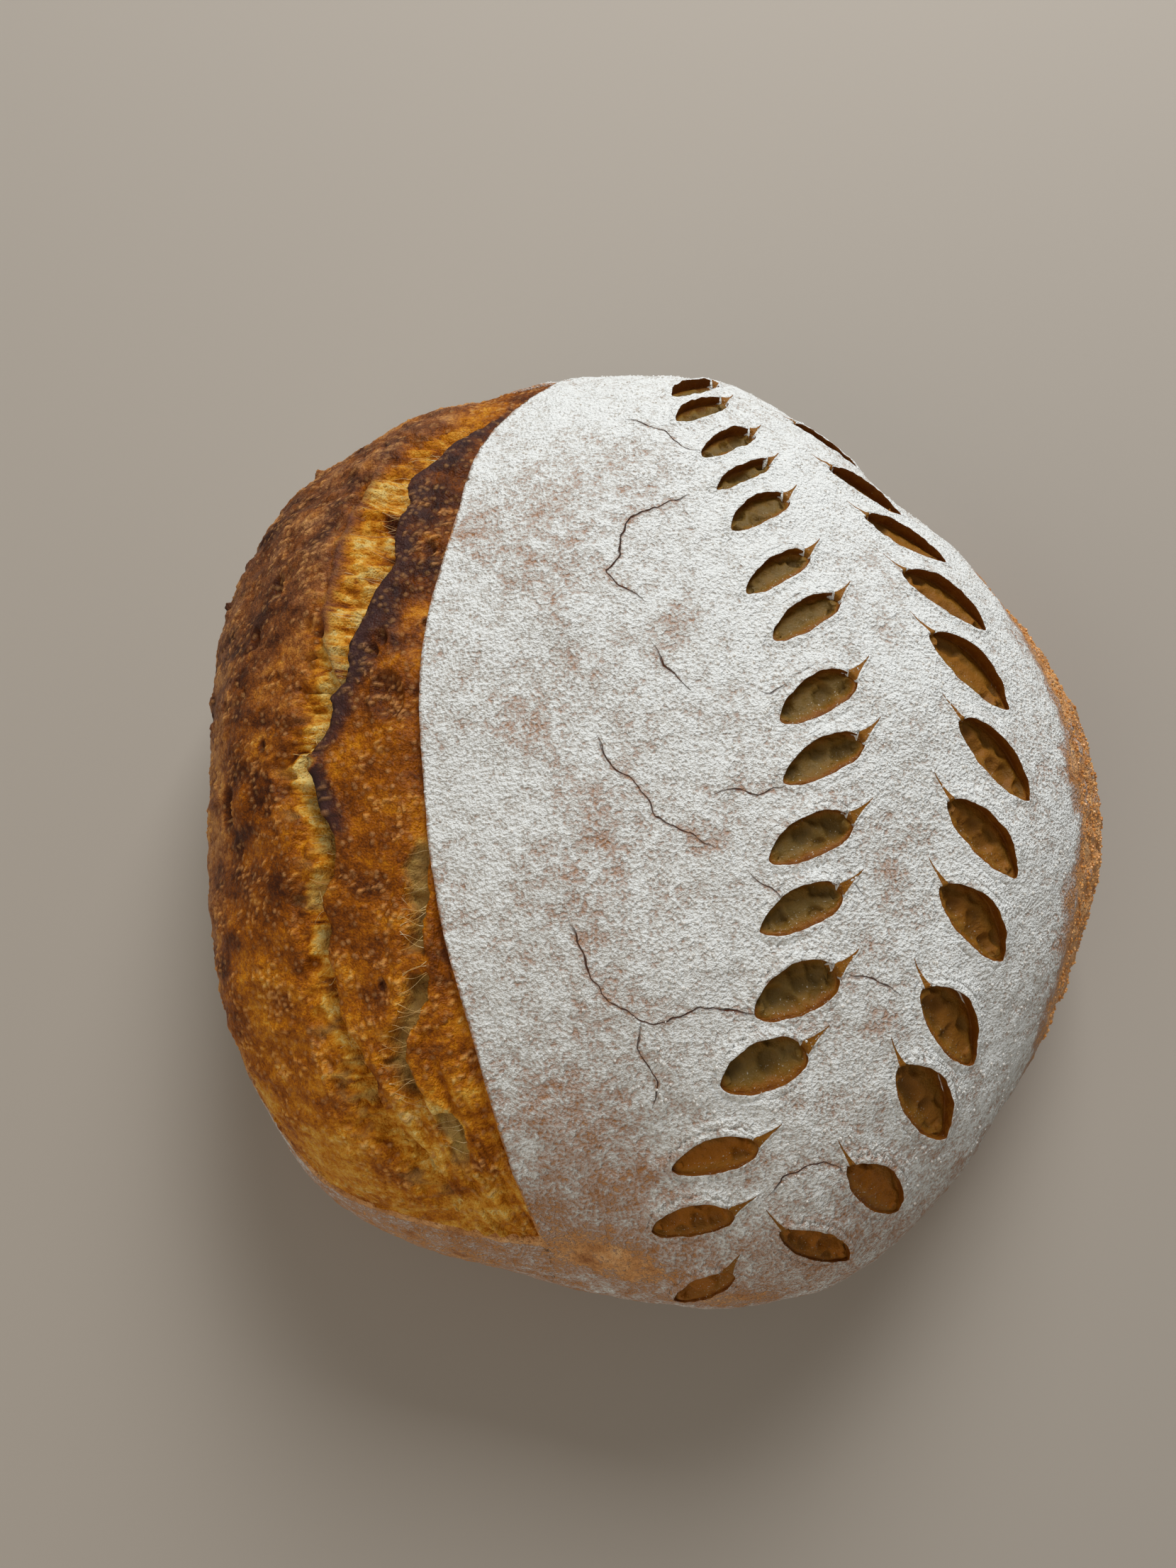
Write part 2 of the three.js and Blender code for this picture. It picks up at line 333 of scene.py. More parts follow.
@dataclass(frozen=True)
class Leaf:
    """One leaf-shaped cut of the wheat ear, in millimetres."""

    x: float
    y: float
    width: float
    length: float
    lean: float
    side: Side

    def local(self, x: Array, y: Array) -> Pair:
        """Measures places against the cut.

        Args:
            x: Places on the crust.
            y: The same places.

        Returns:
            Distance along from the outer tip as a share of the length, and distance across to the upper side.
        """
        turn = math.radians(self.lean if self.side is Side.LEFT else 180 - self.lean)
        dx, dy = x - self.x, y - self.y
        along = dx * math.cos(turn) + dy * math.sin(turn)
        across = (dy * math.cos(turn) - dx * math.sin(turn)) * -self.side.value
        return along / self.length + 0.5, across

    def place(self, share: Array, across: Array) -> Pair:
        """Turns places along and across the cut into places on the crust.

        Args:
            share: Distance along from the outer tip, as a share of the length.
            across: Distance across to the upper side, in millimetres.

        Returns:
            x and y on the crust.
        """
        turn = math.radians(self.lean if self.side is Side.LEFT else 180 - self.lean)
        along = (share - 0.5) * self.length
        flipped = across * -self.side.value
        return (
            self.x + along * math.cos(turn) - flipped * math.sin(turn),
            self.y + along * math.sin(turn) + flipped * math.cos(turn),
        )

    def half_width(self, share: Array) -> Array:
        """Half the cut's width: blunt at its inner end on the left side, and pointed at both on the right.

        Args:
            share: Distance along, as a share of the length.

        Returns:
            One value a share.
        """
        t = np.clip(share, 0.0, 1.0)
        outer, inner, widest = (0.6, 0.5, 0.466) if self.side is Side.LEFT else (0.75, 0.68, 0.371)
        return self.width / 2 * t**outer * (1 - t) ** inner / widest

    def middle(self, share: Array) -> Array:
        """How far the cut's middle line bows to its upper side."""
        return 0.1 * self.width * np.sin(math.pi * np.clip(share, 0.0, 1.0))

    @property
    def nick_start(self) -> float:
        """Where the nick past the cut's inner end starts, as a share of the cut's length."""
        return 0.955

    @property
    def nick_reach(self) -> float:
        """The nick's length."""
        return (0.37 if self.side is Side.LEFT else 0.3) * self.length

    @property
    def nick_turn(self) -> float:
        """How far the nick turns to the cut's upper side, in radians."""
        return math.radians(11)

    def nick_half_width(self, share: Array) -> Array:
        """Half the nick's width at a share of its length."""
        wide = 0.18 if self.side is Side.LEFT else 0.07
        return (wide * self.width * (1 - share) ** 1.9 + 0.1) * np.clip(share * 12, 0, 1) ** 0.5

    def nick_gap(self, x: Array, y: Array) -> Array:
        """Distance outside the nick, negative inside.

        Args:
            x: Places on the crust.
            y: The same places.

        Returns:
            Millimetres, one value a place.
        """
        share, across = self.local(x, y)
        along, across = (share - self.nick_start) * self.length, across - 0.1 * self.width
        run = (along * math.cos(self.nick_turn) + across * math.sin(self.nick_turn)) / self.nick_reach
        off = across * math.cos(self.nick_turn) - along * math.sin(self.nick_turn) - 0.6 * run * run
        gap = np.abs(off) - self.nick_half_width(np.clip(run, 0, 1))
        return np.where((run > 0.02) & (run < 1), gap, 9.0)

    def gap(self, x: Array, y: Array) -> Array:
        """Distance outside the cut, negative inside.

        Args:
            x: Places on the crust.
            y: The same places.

        Returns:
            Millimetres, one value a place.
        """
        share, across = self.local(x, y)
        off = np.abs(across - self.middle(share))
        past = (share - np.clip(share, 0.0, 1.0)) * self.length
        return np.where(past == 0, (off - self.half_width(share)) * 0.93, np.hypot(off, past))


@dataclass(frozen=True)
class WheatEar:
    """The leaf cuts, as x, y and width of each one's middle on the unrolled crust."""

    left: tuple[Triple, ...] = (
        (15, 105, 7), (15, 92, 6.6), (21, 80, 6), (24, 70, 4.2), (27, 59, 6.8), (30, 43, 6.4), (36, 32, 6.8),
        (36, 13, 8.2), (36, 0, 7.5), (33, -16, 8.5), (31, -30, 8.2), (30, -46, 10.3), (23, -61, 10.5),
        (13, -81, 8.2), (9, -98, 9),
    )
    right: tuple[Triple, ...] = (
        (58, 99, 3.5), (64, 78, 7), (71, 61, 8.5), (76, 42, 10), (77, 23, 11), (80, 3, 9.6), (76, -14, 9),
        (75, -32, 10.4), (70, -54, 12), (64, -70, 12), (54, -89, 10), (41, -103, 9.2),
    )
    lowest: Triple = (15, -121, 11)
    lowest_lean: float = 57.0
    left_length: float = 21.0
    right_length: float = 25.0
    left_lean: Through = Through((-100, 24), (-30, 21), (13, 28), (50, 34), (105, 42))
    right_lean: Through = Through((-103, 28), (-85, 40), (-20, 36), (23, 36), (61, 24), (100, 14))

    @cached_property
    def leaves(self) -> list[Leaf]:
        """Every cut, from the top down, the left side first.

        Returns:
            The leaves.
        """
        left = [(*cut, self.left_length, float(self.left_lean(cut[1]))) for cut in self.left]
        right = [(*cut, self.right_length, float(self.right_lean(cut[1]))) for cut in self.right]
        return [
            *(Leaf(*sizes, Side.LEFT) for sizes in left),
            *(Leaf(*sizes, Side.RIGHT) for sizes in right),
            Leaf(*self.lowest, self.left_length, self.lowest_lean, Side.LEFT),
        ]

    def measure(self, x: Array, y: Array) -> dict[str, Array]:
        """Distances to the nearest cut.

        Args:
            x: Places on the crust.
            y: The same places.

        Returns:
            body, the distance outside it, and upper, from -1 below the cut's middle line to 1 above it.
        """
        found = {"body": np.full(len(x), 9.0), "upper": np.zeros(len(x))}
        for leaf in self.leaves:
            near = np.flatnonzero(np.hypot(x - leaf.x, y - leaf.y) < leaf.length)
            gap = leaf.gap(x[near], y[near])
            share, across = leaf.local(x[near], y[near])
            closer = gap < found["body"][near]
            upper = np.clip((across - leaf.middle(share)) / (0.5 * leaf.width), -1, 1)
            found["upper"][near] = np.where(closer, upper, found["upper"][near])
            found["body"][near] = np.minimum(found["body"][near], gap)
        return found


def make_object(
    name: str, points: Array, faces: Array, values: dict[str, Array], finishes: Array | None = None
) -> Object:
    """Makes a smooth-shaded mesh object.

    Args:
        name: The piece's name.
        points: Points in millimetres, one a row.
        faces: Corners of each triangle, one triangle a row.
        values: Numbers for each point, by the name that a material reads.
        finishes: The number of each triangle's material, all the first where it is left out.

    Returns:
        The object, linked to the scene.
    """
    mesh = bpy.data.meshes.new(name)
    mesh.vertices.add(len(points))
    mesh.vertices.foreach_set("co", (points * MM).astype(np.float32).ravel())
    mesh.loops.add(faces.size)
    mesh.loops.foreach_set("vertex_index", faces.astype(np.int32).ravel())
    mesh.polygons.add(len(faces))
    mesh.polygons.foreach_set("loop_start", np.arange(0, faces.size, 3, dtype=np.int32))
    if finishes is not None:
        mesh.polygons.foreach_set("material_index", finishes.astype(np.int32))
    mesh.update(calc_edges=True)
    mesh.shade_smooth()
    for key, numbers in values.items():
        mesh.attributes.new(key, "FLOAT", "POINT").data.foreach_set("value", numbers.astype(np.float32))
    piece = bpy.data.objects.new(name, mesh)
    bpy.context.scene.collection.objects.link(piece)
    return piece


def join_loops(inner: Array, outer: Array, middles: Pair | None = None) -> Array:
    """Fills the band between two closed loops of points with triangles.

    Args:
        inner: Point numbers round the inner loop.
        outer: Point numbers round the outer loop, starting beside the inner loop's start.
        middles: Where each side of the inner and of the outer loop has its middle, as a share of the way
            round. Evenly spaced where it is left out.

    Returns:
        The corners of the triangles.
    """
    if middles is None:
        middles = (np.arange(len(inner)) + 0.5) / len(inner), (np.arange(len(outer)) + 0.5) / len(outer)
    steps_out = np.concatenate([np.zeros(len(inner), bool), np.ones(len(outer), bool)])
    steps_out = steps_out[np.argsort(np.concatenate(middles), kind="stable")]
    i = np.cumsum(~steps_out) - ~steps_out
    j = np.cumsum(steps_out) - steps_out
    a, b = inner[i % len(inner)], outer[j % len(outer)]
    c = np.where(steps_out, outer[(j + 1) % len(outer)], inner[(i + 1) % len(inner)])
    return np.stack([a, b, c], 1)


def grid_faces(numbers: Array) -> Array:
    """Triangles of a grid of point numbers whose rows go up and columns go right, facing the viewer."""
    a, b, c, d = numbers[:-1, :-1], numbers[:-1, 1:], numbers[1:, 1:], numbers[1:, :-1]
    return np.concatenate([np.stack([a, b, c], -1).reshape(-1, 3), np.stack([a, c, d], -1).reshape(-1, 3)])


def fan_faces(loop: Array, tip: int) -> Array:
    """Triangles from the points round a loop, given by number, to one tip."""
    return np.stack([loop, np.full(len(loop), tip), np.roll(loop, -1)], 1)


def border(numbers: Array) -> Array:
    """The point numbers round a grid's edge, anticlockwise from its lower left corner."""
    return np.concatenate([numbers[0, :-1], numbers[:-1, -1], numbers[-1, :0:-1], numbers[:0:-1, 0]])


def beside(x: Array, y: Array, line: Points) -> Pair:
    """Measures places against a line on the crust.

    Args:
        x: Places on the crust.
        y: The same places.
        line: The places that the line passes through, in order.

    Returns:
        The distance to the line, positive on its left, and how far along it the nearest point is.
    """
    best = np.full(len(x), 1e6)
    signed = np.full(len(x), 1e6)
    along = np.zeros(len(x))
    passed = 0.0
    for (ax, ay), (bx, by) in itertools.pairwise(line):
        length = math.hypot(bx - ax, by - ay)
        ux, uy = (bx - ax) / length, (by - ay) / length
        t = np.clip((x - ax) * ux + (y - ay) * uy, 0.0, length)
        away = np.hypot(x - ax - t * ux, y - ay - t * uy)
        closer = away < best
        best = np.where(closer, away, best)
        signed = np.where(closer, np.copysign(away, (y - ay) * ux - (x - ax) * uy), signed)
        along = np.where(closer, passed + t, along)
        passed += length
    return signed, along


def length_of(line: Points) -> float:
    """The length of a line on the crust in millimetres."""
    return sum(math.dist(a, b) for a, b in itertools.pairwise(line))


def pull_onto(x: Array, y: Array, gap: Callable[[Array, Array], Array], reach: float, wall: float) -> Pair:
    """Moves places beside an outline onto it, and the next ones inside it to the foot of its wall.

    Args:
        x: Places on the crust.
        y: The same places.
        gap: The distance outside the outline, negative inside.
        reach: How far a place may be from the outline to move onto it.
        wall: How far inside the outline the foot of its wall stands.

    Returns:
        The new places.
    """
    near = np.flatnonzero(np.abs(gap(x, y)) < 3 * reach)
    for _ in range(2):
        px, py = x[near], y[near]
        here = gap(px, py)
        step = 0.05
        slope_x = (gap(px + step, py) - gap(px - step, py)) / (2 * step)
        slope_y = (gap(px, py + step) - gap(px, py - step)) / (2 * step)
        steep = np.maximum(slope_x**2 + slope_y**2, 0.3)
        next_in = (here < 0) & (here > -2.4 * reach)
        wanted = np.where(np.abs(here) < reach, 0.0, np.where(next_in, -wall, here))
        move = (wanted - here) / steep
        x, y = x.copy(), y.copy()
        x[near] += move * slope_x
        y[near] += move * slope_y
    return x, y


@dataclass
class FlouredCrust:
    """The loaf's whole body: floured skin, leaf pockets, brown rim, sides and flat base.

    Attributes:
        spacing: Distance between the rings of points on the crown.
        side_spacing: The same on the sides, which show less.
        base_spacing: The same on the base.
        burst_coarseness: How many times wider apart points are where the burst covers them.
        edge_lip: How far the skin turns up along the torn burst.
        bed_of_burst: How far the body is sunk under the torn burst.
        bed_of_cuts: How far it is sunk under the leaf cuts.
        rim_inner: Where the bare brown rim starts on the right.
        cracks: Lines of the fine cracks in the flour.
        branches: Lines of cracks that branch off another one.
        thin_flour: The middle and radii of each thinly floured patch, and how much flour it lacks.
    """

    dome: Dome
    ear: WheatEar
    spacing: float = 0.93
    side_spacing: float = 2.4
    base_spacing: float = 4.0
    burst_coarseness: float = 3.0
    edge_lip: float = 0.5
    bed_of_burst: float = 10.0
    bed_of_cuts: float = 8.0
    rim_inner: Through = Through(
        (-75, 126), (-62, 118), (-47, 114), (-14, 111), (1, 110), (29, 108), (47, 108), (66, 111), (80, 124)
    )
    cracks: tuple[Points, ...] = (
        ((9, 62), (1, 58), (-6, 55), (-9, 50), (-9, 45), (-13, 41), (-9, 38), (-3, 34)),
        ((-15, 6), (-13, 1), (-3, -8), (-2, -11), (8, -16), (12, -18)),
        ((18, -22), (23, -25), (27, -29)),
        ((-21, -31), (-17, -40), (-14, -47), (-5, -53), (1, -52), (11, -49), (22, -50)),
        ((41, -42), (48, -43), (56, -47)),
        ((26, -89), (29, -83), (38, -80), (45, -83)),
        ((-2, 25), (1, 19), (8, 14)),
        ((-7, 87), (1, 83), (12, 74)),
        ((-55, 2), (-51, 2)),
        ((11, -8), (16, -6), (21, -7), (27, -5)),
        ((29, 16), (25, 14), (22, 15)),
        ((42, -24), (47, -27)),
        ((-41, -55), (-39, -54)),
    )
    branches: tuple[Points, ...] = (((-5, -53), (-5, -59), (-1, -65), (-2, -72)),)
    thin_flour: tuple[tuple[Point, Point, float], ...] = (
        ((-10, -91), (10, 7), 0.22),
        ((6, -103), (9, 6), 0.15),
        ((-7, -116), (16, 7), 0.5),
        ((20, -128), (22, 7), 0.4),
        ((24, -82), (6, 4), 0.3),
        ((40, -6), (5, 3), 0.25),
        ((50, -53), (6, 4), 0.3),
        ((53, -22), (3, 8), 0.2),
        ((57, 30), (4, 6), 0.2),
        ((-20, -20), (12, 8), 0.15),
        ((5, 31), (5, 4), 0.35),
        ((11, -16), (6, 4), 0.4),
    )

    def angles(self, distance: float, gap: float, turned: float) -> Array:
        """Angles of one ring's points, wider apart where the burst covers them.

        Args:
            distance: The ring's distance along the crust from the top.
            gap: Distance between its points.
            turned: 1 where the ring is turned by half a gap, or 0.

        Returns:
            Angles in radians, in rising order.
        """
        steps = 1440
        angle = np.linspace(0.0, 2 * math.pi, steps, endpoint=False)
        x, y = distance * np.cos(angle), distance * np.sin(angle)
        reach = np.interp(distance, self.dome.profile[:, 0], self.dome.profile[:, 1])
        covered = self.dome.inside_burst(x, y) > 2.5
        dense = np.where(covered, 1 / self.burst_coarseness, 1.0)
        mean_radius = (self.dome.half_width + self.dome.half_length) / 2
        count = max(6, round(mean_radius * reach * dense.sum() * (2 * math.pi / steps) / gap))
        passed = np.concatenate([[0.0], np.cumsum(dense)]) / dense.sum()
        share = (np.arange(count) + 0.25 + 0.5 * turned) / count
        return np.interp(share, passed, np.linspace(0.0, 2 * math.pi, steps + 1))

    def rings(self) -> tuple[Array, Array, list[Array], list[Array]]:
        """Spreads the body's points in rings, from the top down to the rim of the base.

        Returns:
            Their x and y, each ring's point numbers, and each ring's angles.
        """
        crown = np.arange(self.spacing, self.dome.widest_distance, self.spacing)
        sides = []
        distance, gap = crown[-1], self.spacing
        while True:
            gap = min(gap * 1.12, self.side_spacing)
            distance += gap
            if distance > self.dome.rim_distance - 0.6 * gap:
                break
            sides.append((distance, gap))
        sides.append((self.dome.rim_distance, self.side_spacing))
        every = [(d, self.spacing) for d in crown] + sides
        angles = [self.angles(d, gap, i % 2) for i, (d, gap) in enumerate(every)]
        x = np.concatenate([[0.0]] + [d * np.cos(a) for (d, _), a in zip(every, angles)])
        y = np.concatenate([[0.0]] + [d * np.sin(a) for (d, _), a in zip(every, angles)])
        ends = np.cumsum([1] + [len(a) for a in angles])
        return x, y, [np.arange(a, b) for a, b in itertools.pairwise(ends)], angles

    def skin(self, x: Array, y: Array) -> Array:
        """How far the floured skin stands above the uneven crust, were it whole between the cuts.

        Args:
            x: Places on the crust.
            y: The same places.

        Returns:
            Millimetres, one value a place.
        """
        flat = np.stack([x, y], 1)
        floured = 1 - rise(np.hypot(x, y), self.dome.widest_distance, self.dome.rim_distance)
        lumps = 0.34 * noise(flat, 17, 11) + 0.3 * noise(flat, 7, 12, 2) + 0.13 * noise(flat, 2.1, 13, 2)
        lumps += 0.9 * rise(1.25 - spot(x, y, (-23, 30), (9, 7)), 0, 1)
        lumps += 0.6 * rise(1.2 - spot(x, y, (-15, 18), (6, 5)), 0, 1)
        rim = rise(x - self.rim_inner(y), -2, 12)
        lumps += rim * (1.3 * np.abs(noise(flat, 5.5, 14)) + 0.35 * noise(flat, 2.2, 15) - 0.7)
        past, within = self.dome.past_skin(x, y), self.dome.within_reach(x, y)
        ear = self.ear.measure(x, y)
        outside = np.maximum(ear["body"], 0)
        eyelid = 0.9 * rise(ear["upper"], -0.2, 1) * hump(outside, 0.6, 2.4) + 0.35 * hump(outside, 0, 1.6)
        return lumps * floured + self.edge_lip * rise(past, -5, 0) * rise(within, -4, 8) + eyelid

    def height(self, x: Array, y: Array) -> Array:
        """How far the body stands above the uneven crust, sunk under the burst and the cuts.

        Args:
            x: Places on the crust.
            y: The same places.

        Returns:
            Millimetres, one value a place.
        """
        past, within = self.dome.past_skin(x, y), self.dome.within_reach(x, y)
        under_burst = rise(past, 0.06, 0.5) * rise(within, 1.5, 4.0)
        under_cut = 1 - rise(self.ear.measure(x, y)["body"], 0.35, 1.35)
        sunk = np.maximum(under_burst * self.bed_of_burst, under_cut * self.bed_of_cuts)
        return self.skin(x, y) * (1 - np.maximum(under_burst, under_cut)) - sunk

    def build(self) -> Object:
        """Builds the body.

        Returns:
            The piece.
        """
        x, y, rings, angles = self.rings()
        x, y = pull_onto(x, y, lambda px, py: -self.dome.past_skin(px, py), 0.46 * self.spacing, 0.3)
        points = self.dome.crust(x, y, self.height(x, y))
        points[:, 2] = np.maximum(points[:, 2], 0.0)
        faces = []
        hub = np.zeros(len(rings[0]), int)
        faces.append(np.stack([hub, rings[0], np.roll(rings[0], -1)], 1))
        middles = [(a + np.append(a[1:], a[0] + 2 * math.pi)) / 2 for a in angles]
        for i in range(len(rings) - 1):
            faces.append(join_loops(rings[i], rings[i + 1], (middles[i], middles[i + 1])))
        rim, count = rings[-1], len(points)
        rows, radius = [rim], np.hypot(*points[rim, :2].T).mean()
        base_points = []
        shares = np.arange(radius - self.base_spacing, self.base_spacing, -self.base_spacing) / radius
        centre = points[rim].mean(axis=0)
        for share in shares:
            wanted = max(6, round(2 * math.pi * radius * share / self.base_spacing))
            kept = np.linspace(0, len(rim), wanted, endpoint=False)
            ring = points[rim][kept.astype(int)]
            base_points.append(centre + (ring - centre) * share)
            base_points[-1][:, 2] = 0.0
            rows.append(np.arange(count, count + len(ring)))
            count += len(ring)
        for inner, outer in itertools.pairwise(rows):
            faces.append(join_loops(inner, outer))
        last = rows[-1]
        faces.append(np.stack([last, np.roll(last, -1), np.full(len(last), count)], 1))
        base = np.concatenate([*base_points, [[centre[0], centre[1], 0.0]]])
        values = {
            key: np.concatenate([found, np.full(len(base), fill)])
            for key, (found, fill) in self.values(x, y).items()
        }
        points = np.concatenate([points, base]) - CENTRE
        return make_object("floured_crust", points, np.concatenate(faces), values)

    def values(self, x: Array, y: Array) -> dict[str, tuple[Array, float]]:
        """The numbers that the flour's finish reads at each point.

        Args:
            x: Places on the crust.
            y: The same places.

        Returns:
            By name, a value for each place and the value that the base gets.
        """
        flat = np.stack([x, y], 1)
        distance = np.hypot(x, y)
        flour = 0.88 + 0.14 * noise(flat, 34, 21, 2) + 0.1 * rise(y, -60, 100) - 0.46 * rise(-y, 42, 122)
        stained = rise(x, -70, -40) * (1 - rise(x, -12, 14)) * (1 - rise(y, 60, 100))
        flour = flour - stained * (0.1 + 0.2 * rise(noise(flat, 17, 24, 3), -0.2, 0.6))
        flour = flour - 0.12 * rise(x, 86, 112)
        flour = flour - 0.3 * rise(-y, 50, 105) * rise(-x, 25, 65)
        for middle, radii, loss in self.thin_flour:
            flour = flour - loss * rise(1.4 - spot(x, y, middle, radii), 0, 1)
        past_rim = x - self.rim_inner(y) + 7 * noise(flat, 16, 26, 3)
        bare = rise(past_rim, -8, 6)
        flour = flour - 1.12 * bare + 0.34 * rise(noise(flat, 9, 27, 4), 0.05, 0.5) * bare
        flour = flour - 0.35 * rise(distance, self.dome.widest_distance - 16, self.dome.widest_distance + 8)
        wiggle = 0.9 * np.stack([noise(flat, 5, 22, 2), noise(flat, 5, 23, 2)], 1)
        values = {
            "flour": (flour, -0.25),
            "torn_edge": (np.clip(self.dome.inside_burst(x, y), -8, 8), -8.0),
            "clumped": (
                rise(flour, 0.45, 1.0)
                * (0.15 + rise(noise(flat, 15, 25, 3), -0.25, 0.5))
                * (self.dome.inside_burst(x, y) < -0.8)
                * (self.ear.measure(x, y)["body"] > 1.4)
                * (distance < self.dome.widest_distance - 4),
                0.0,
            ),
            "crumbed": (rise(x - self.rim_inner(y), 2, 8) * (distance < self.dome.widest_distance + 6), 0.0),
        }
        for key, lines in (("crack", self.cracks), ("branch", self.branches)):
            off = np.full(len(x), 9.0)
            open_ = np.zeros(len(x))
            for line in lines:
                side, along = beside(x + wiggle[:, 0], y + wiggle[:, 1], line)
                closer = np.abs(side) < np.abs(off)
                ends = np.minimum(along, length_of(line) - along)
                off = np.where(closer, side, off)
                open_ = np.where(closer, rise(ends, -0.5, 6) * (1 - rise(np.abs(side), 1.6, 2.8)), open_)
            values[key] = (np.clip(off, -9, 9), 9.0)
            values[key + "_open"] = (open_, 0.0)
        return values


@dataclass
class TornBurst:
    """The long torn opening along the left of the loaf, with its crevices, fibres, blisters and curled lip.

    Attributes:
        rows: Rows of points along the slash.
        strip: Columns of points between the flour's edge and the main crevice.
        wall: Columns down the crevice's wall.
        mass: Columns on the left of the crevice.
        ends: Where the burst starts and ends along the slash.
        overlap: How far the sheet runs in under the flour's edge.
        crevice_depth: The main crevice's greatest depth.
        skin_step: How far the burst lies below the flour's edge.
        backing: How deep the sheet's back lies.
        back_rows: Rows of points on the back.
        back_columns: Columns of points on the back.
        back_size: The back's width and length, as shares of the front's.
        far_left: A place left of every border.
        main_split: The main crevice's line, as x at each y.
        main_depth: How deep it is there, from 0 to 1.
        torn_width: How wide its torn slope is.
        side_split: The side crevice's line.
        side_depth: How deep that is, from 0 to 1.
        rope: The line of the thin rolled lip.
        pits: x, y, radius and depth of each burst bubble.
        flakes: x, y and height of each loose flake.
        open_cell: The middle and radii of the large open bubble.
        dent: The middle and radii of the dent beside the crevice.
        blob: The middle and radii of the large blister.
    """

    LOOKS: ClassVar[tuple[str, ...]] = ("bake_and_shade", "torn", "rosy", "speck", "olive", "tan")

    dome: Dome
    rows: int = 392
    strip: int = 50
    wall: int = 6
    mass: int = 124
    ends: Point = (-112.2, 118.2)
    overlap: float = 0.8
    crevice_depth: float = 7.2
    skin_step: float = 1.5
    backing: float = 12.5
    back_rows: int = 40
    back_columns: int = 16
    back_size: Point = (0.93, 0.985)
    far_left: float = -165.0
    main_split: Through = Through(
        (-100, -46), (-90, -50), (-81, -54), (-76, -58), (-68, -63), (-61, -64), (-55, -69), (-48, -73),
        (-44, -74), (-39, -76), (-33, -76), (-28, -78), (-21, -75), (-14, -75), (-7, -79), (-1, -81),
        (3, -82), (7, -78), (12, -75), (16, -75), (20, -71), (26, -70), (32, -67), (38, -66), (45, -62),
        (54, -62), (61, -60), (69, -61), (77, -55), (84, -51), (92, -44), (100, -40),
    )
    main_depth: Through = Through(
        (-100, 0), (-80, 0.3), (-55, 0.5), (-20, 0.75), (2, 1), (45, 0.9), (72, 0.7), (98, 0)
    )
    torn_width: Through = Through((-100, 5), (-64, 10), (-38, 7), (-8, 11), (22, 13), (56, 15), (98, 9))
    side_split: Through = Through(
        (-86, -46), (-72, -49), (-65, -56), (-55, -58), (-50, -55), (-30, -55), (-14, -55)
    )
    side_depth: Through = Through((-88, 0), (-70, 0.6), (-50, 1), (-24, 0.8), (-14, 0))
    rope: Through = Through((12, -75), (23, -77), (30, -79), (46, -77), (55, -76), (70, -72), (84, -68))
    pits: tuple[tuple[float, float, float, float], ...] = (
        (-96, 47, 2.6, 1.9), (-104, 36, 2.4, 1.6), (-54, 49, 1.6, 1.2), (-64, 28, 1.5, 1.3),
        (-66, 25, 1.4, 1.2), (-54, 31, 1.2, 0.9), (-116, -4, 4, 2.0), (-66, 60, 2.4, 2.2), (-99, 8, 1.4, 0.9),
        (-62, -44, 1.1, 0.8),
    )
    flakes: tuple[Triple, ...] = (
        (-96, 89, 1.3), (-124, 55, 1.5), (-122, 51, 0.9), (-50, 45, 1.3), (-127, 20, 0.9),
    )
    open_cell: tuple[Point, Point] = ((-85.5, 2), (4.0, 3.3))
    dent: tuple[Point, Point] = ((-63, 15), (3.8, 5.4))
    blob: tuple[Point, Point] = ((-108, -5), (6, 7))

    def borders(self, y: Array) -> Pair:
        """The burst's left and right border at each row.

        Args:
            y: The rows' places along the slash.

        Returns:
            Two values of x a row.
        """
        right = self.dome.skin_edge(y)
        steps = np.linspace(0.0, 1.0, 600)
        x = right[:, None] + (self.far_left - right[:, None]) * steps
        inside = self.dome.inside_burst(x.ravel(), np.repeat(y, len(steps))).reshape(x.shape) > -0.001
        last = np.where(inside.any(axis=1), len(steps) - 1 - np.argmax(inside[:, ::-1], axis=1), 1)
        return x[np.arange(len(y)), last], right

    def surface(self, x: Array, y: Array) -> dict[str, Array]:
        """The burst's relief and looks.

        Args:
            x: Places on the crust.
            y: The same places.

        Returns:
            height in millimetres, shift to the right, and from 0 to 1: bake, from pale to burnt and darker
            also as painted shade in the pits, in the creases between torn fibres and at the main crevice's
            bottom, torn, where the crumb shows, kept off the main crevice's bottom, rosy, where the crust is
            purple, speck, on blisters, olive, where the crumb is thin and moist and as painted shade inside
            the large open bubble, and tan, where the crust is dull.
        """
        flat = np.stack([x, y], 1)
        stretched = np.stack([x * 0.42, y], 1)
        wander = noise(flat, 6, 31, 3)
        u = x - self.main_split(y) + 0.5 * wander
        depth, torn_width = self.main_depth(y), self.torn_width(y) * (1 + 0.22 * wander)
        edge = self.dome.past_skin(x, y)
        strip = np.maximum(edge + u, 4.0)
        inside = self.dome.inside_burst(x, y)
        within = self.dome.within_reach(x, y)
        left = rise(-u - torn_width, -1, 4)
        right = rise(u, -0.4, 0.3)
        open_ = (1 - right) * (1 - left)

        across = np.clip(-u / np.maximum(torn_width, 1), 0, 1)
        crevice = (1 - right) * (1 - rise(across, 0.1, 1)) * rise(-u, 0, 0.9)
        height = -self.crevice_depth * depth * crevice
        height += 1.1 * depth * hump(u, 1.6, 2.4) * right
        height -= self.skin_step * (1 - rise(edge, 0, 6))
        swell = 1.3 * left * rise(inside, 0, 16) + 1.1 * noise(flat, 24, 32)
        swell += 0.6 * noise(stretched, 7, 33, 2)
        height += swell * rise(within, 0, 6) - 0.7 * (1 - rise(within, 0, 2.5))

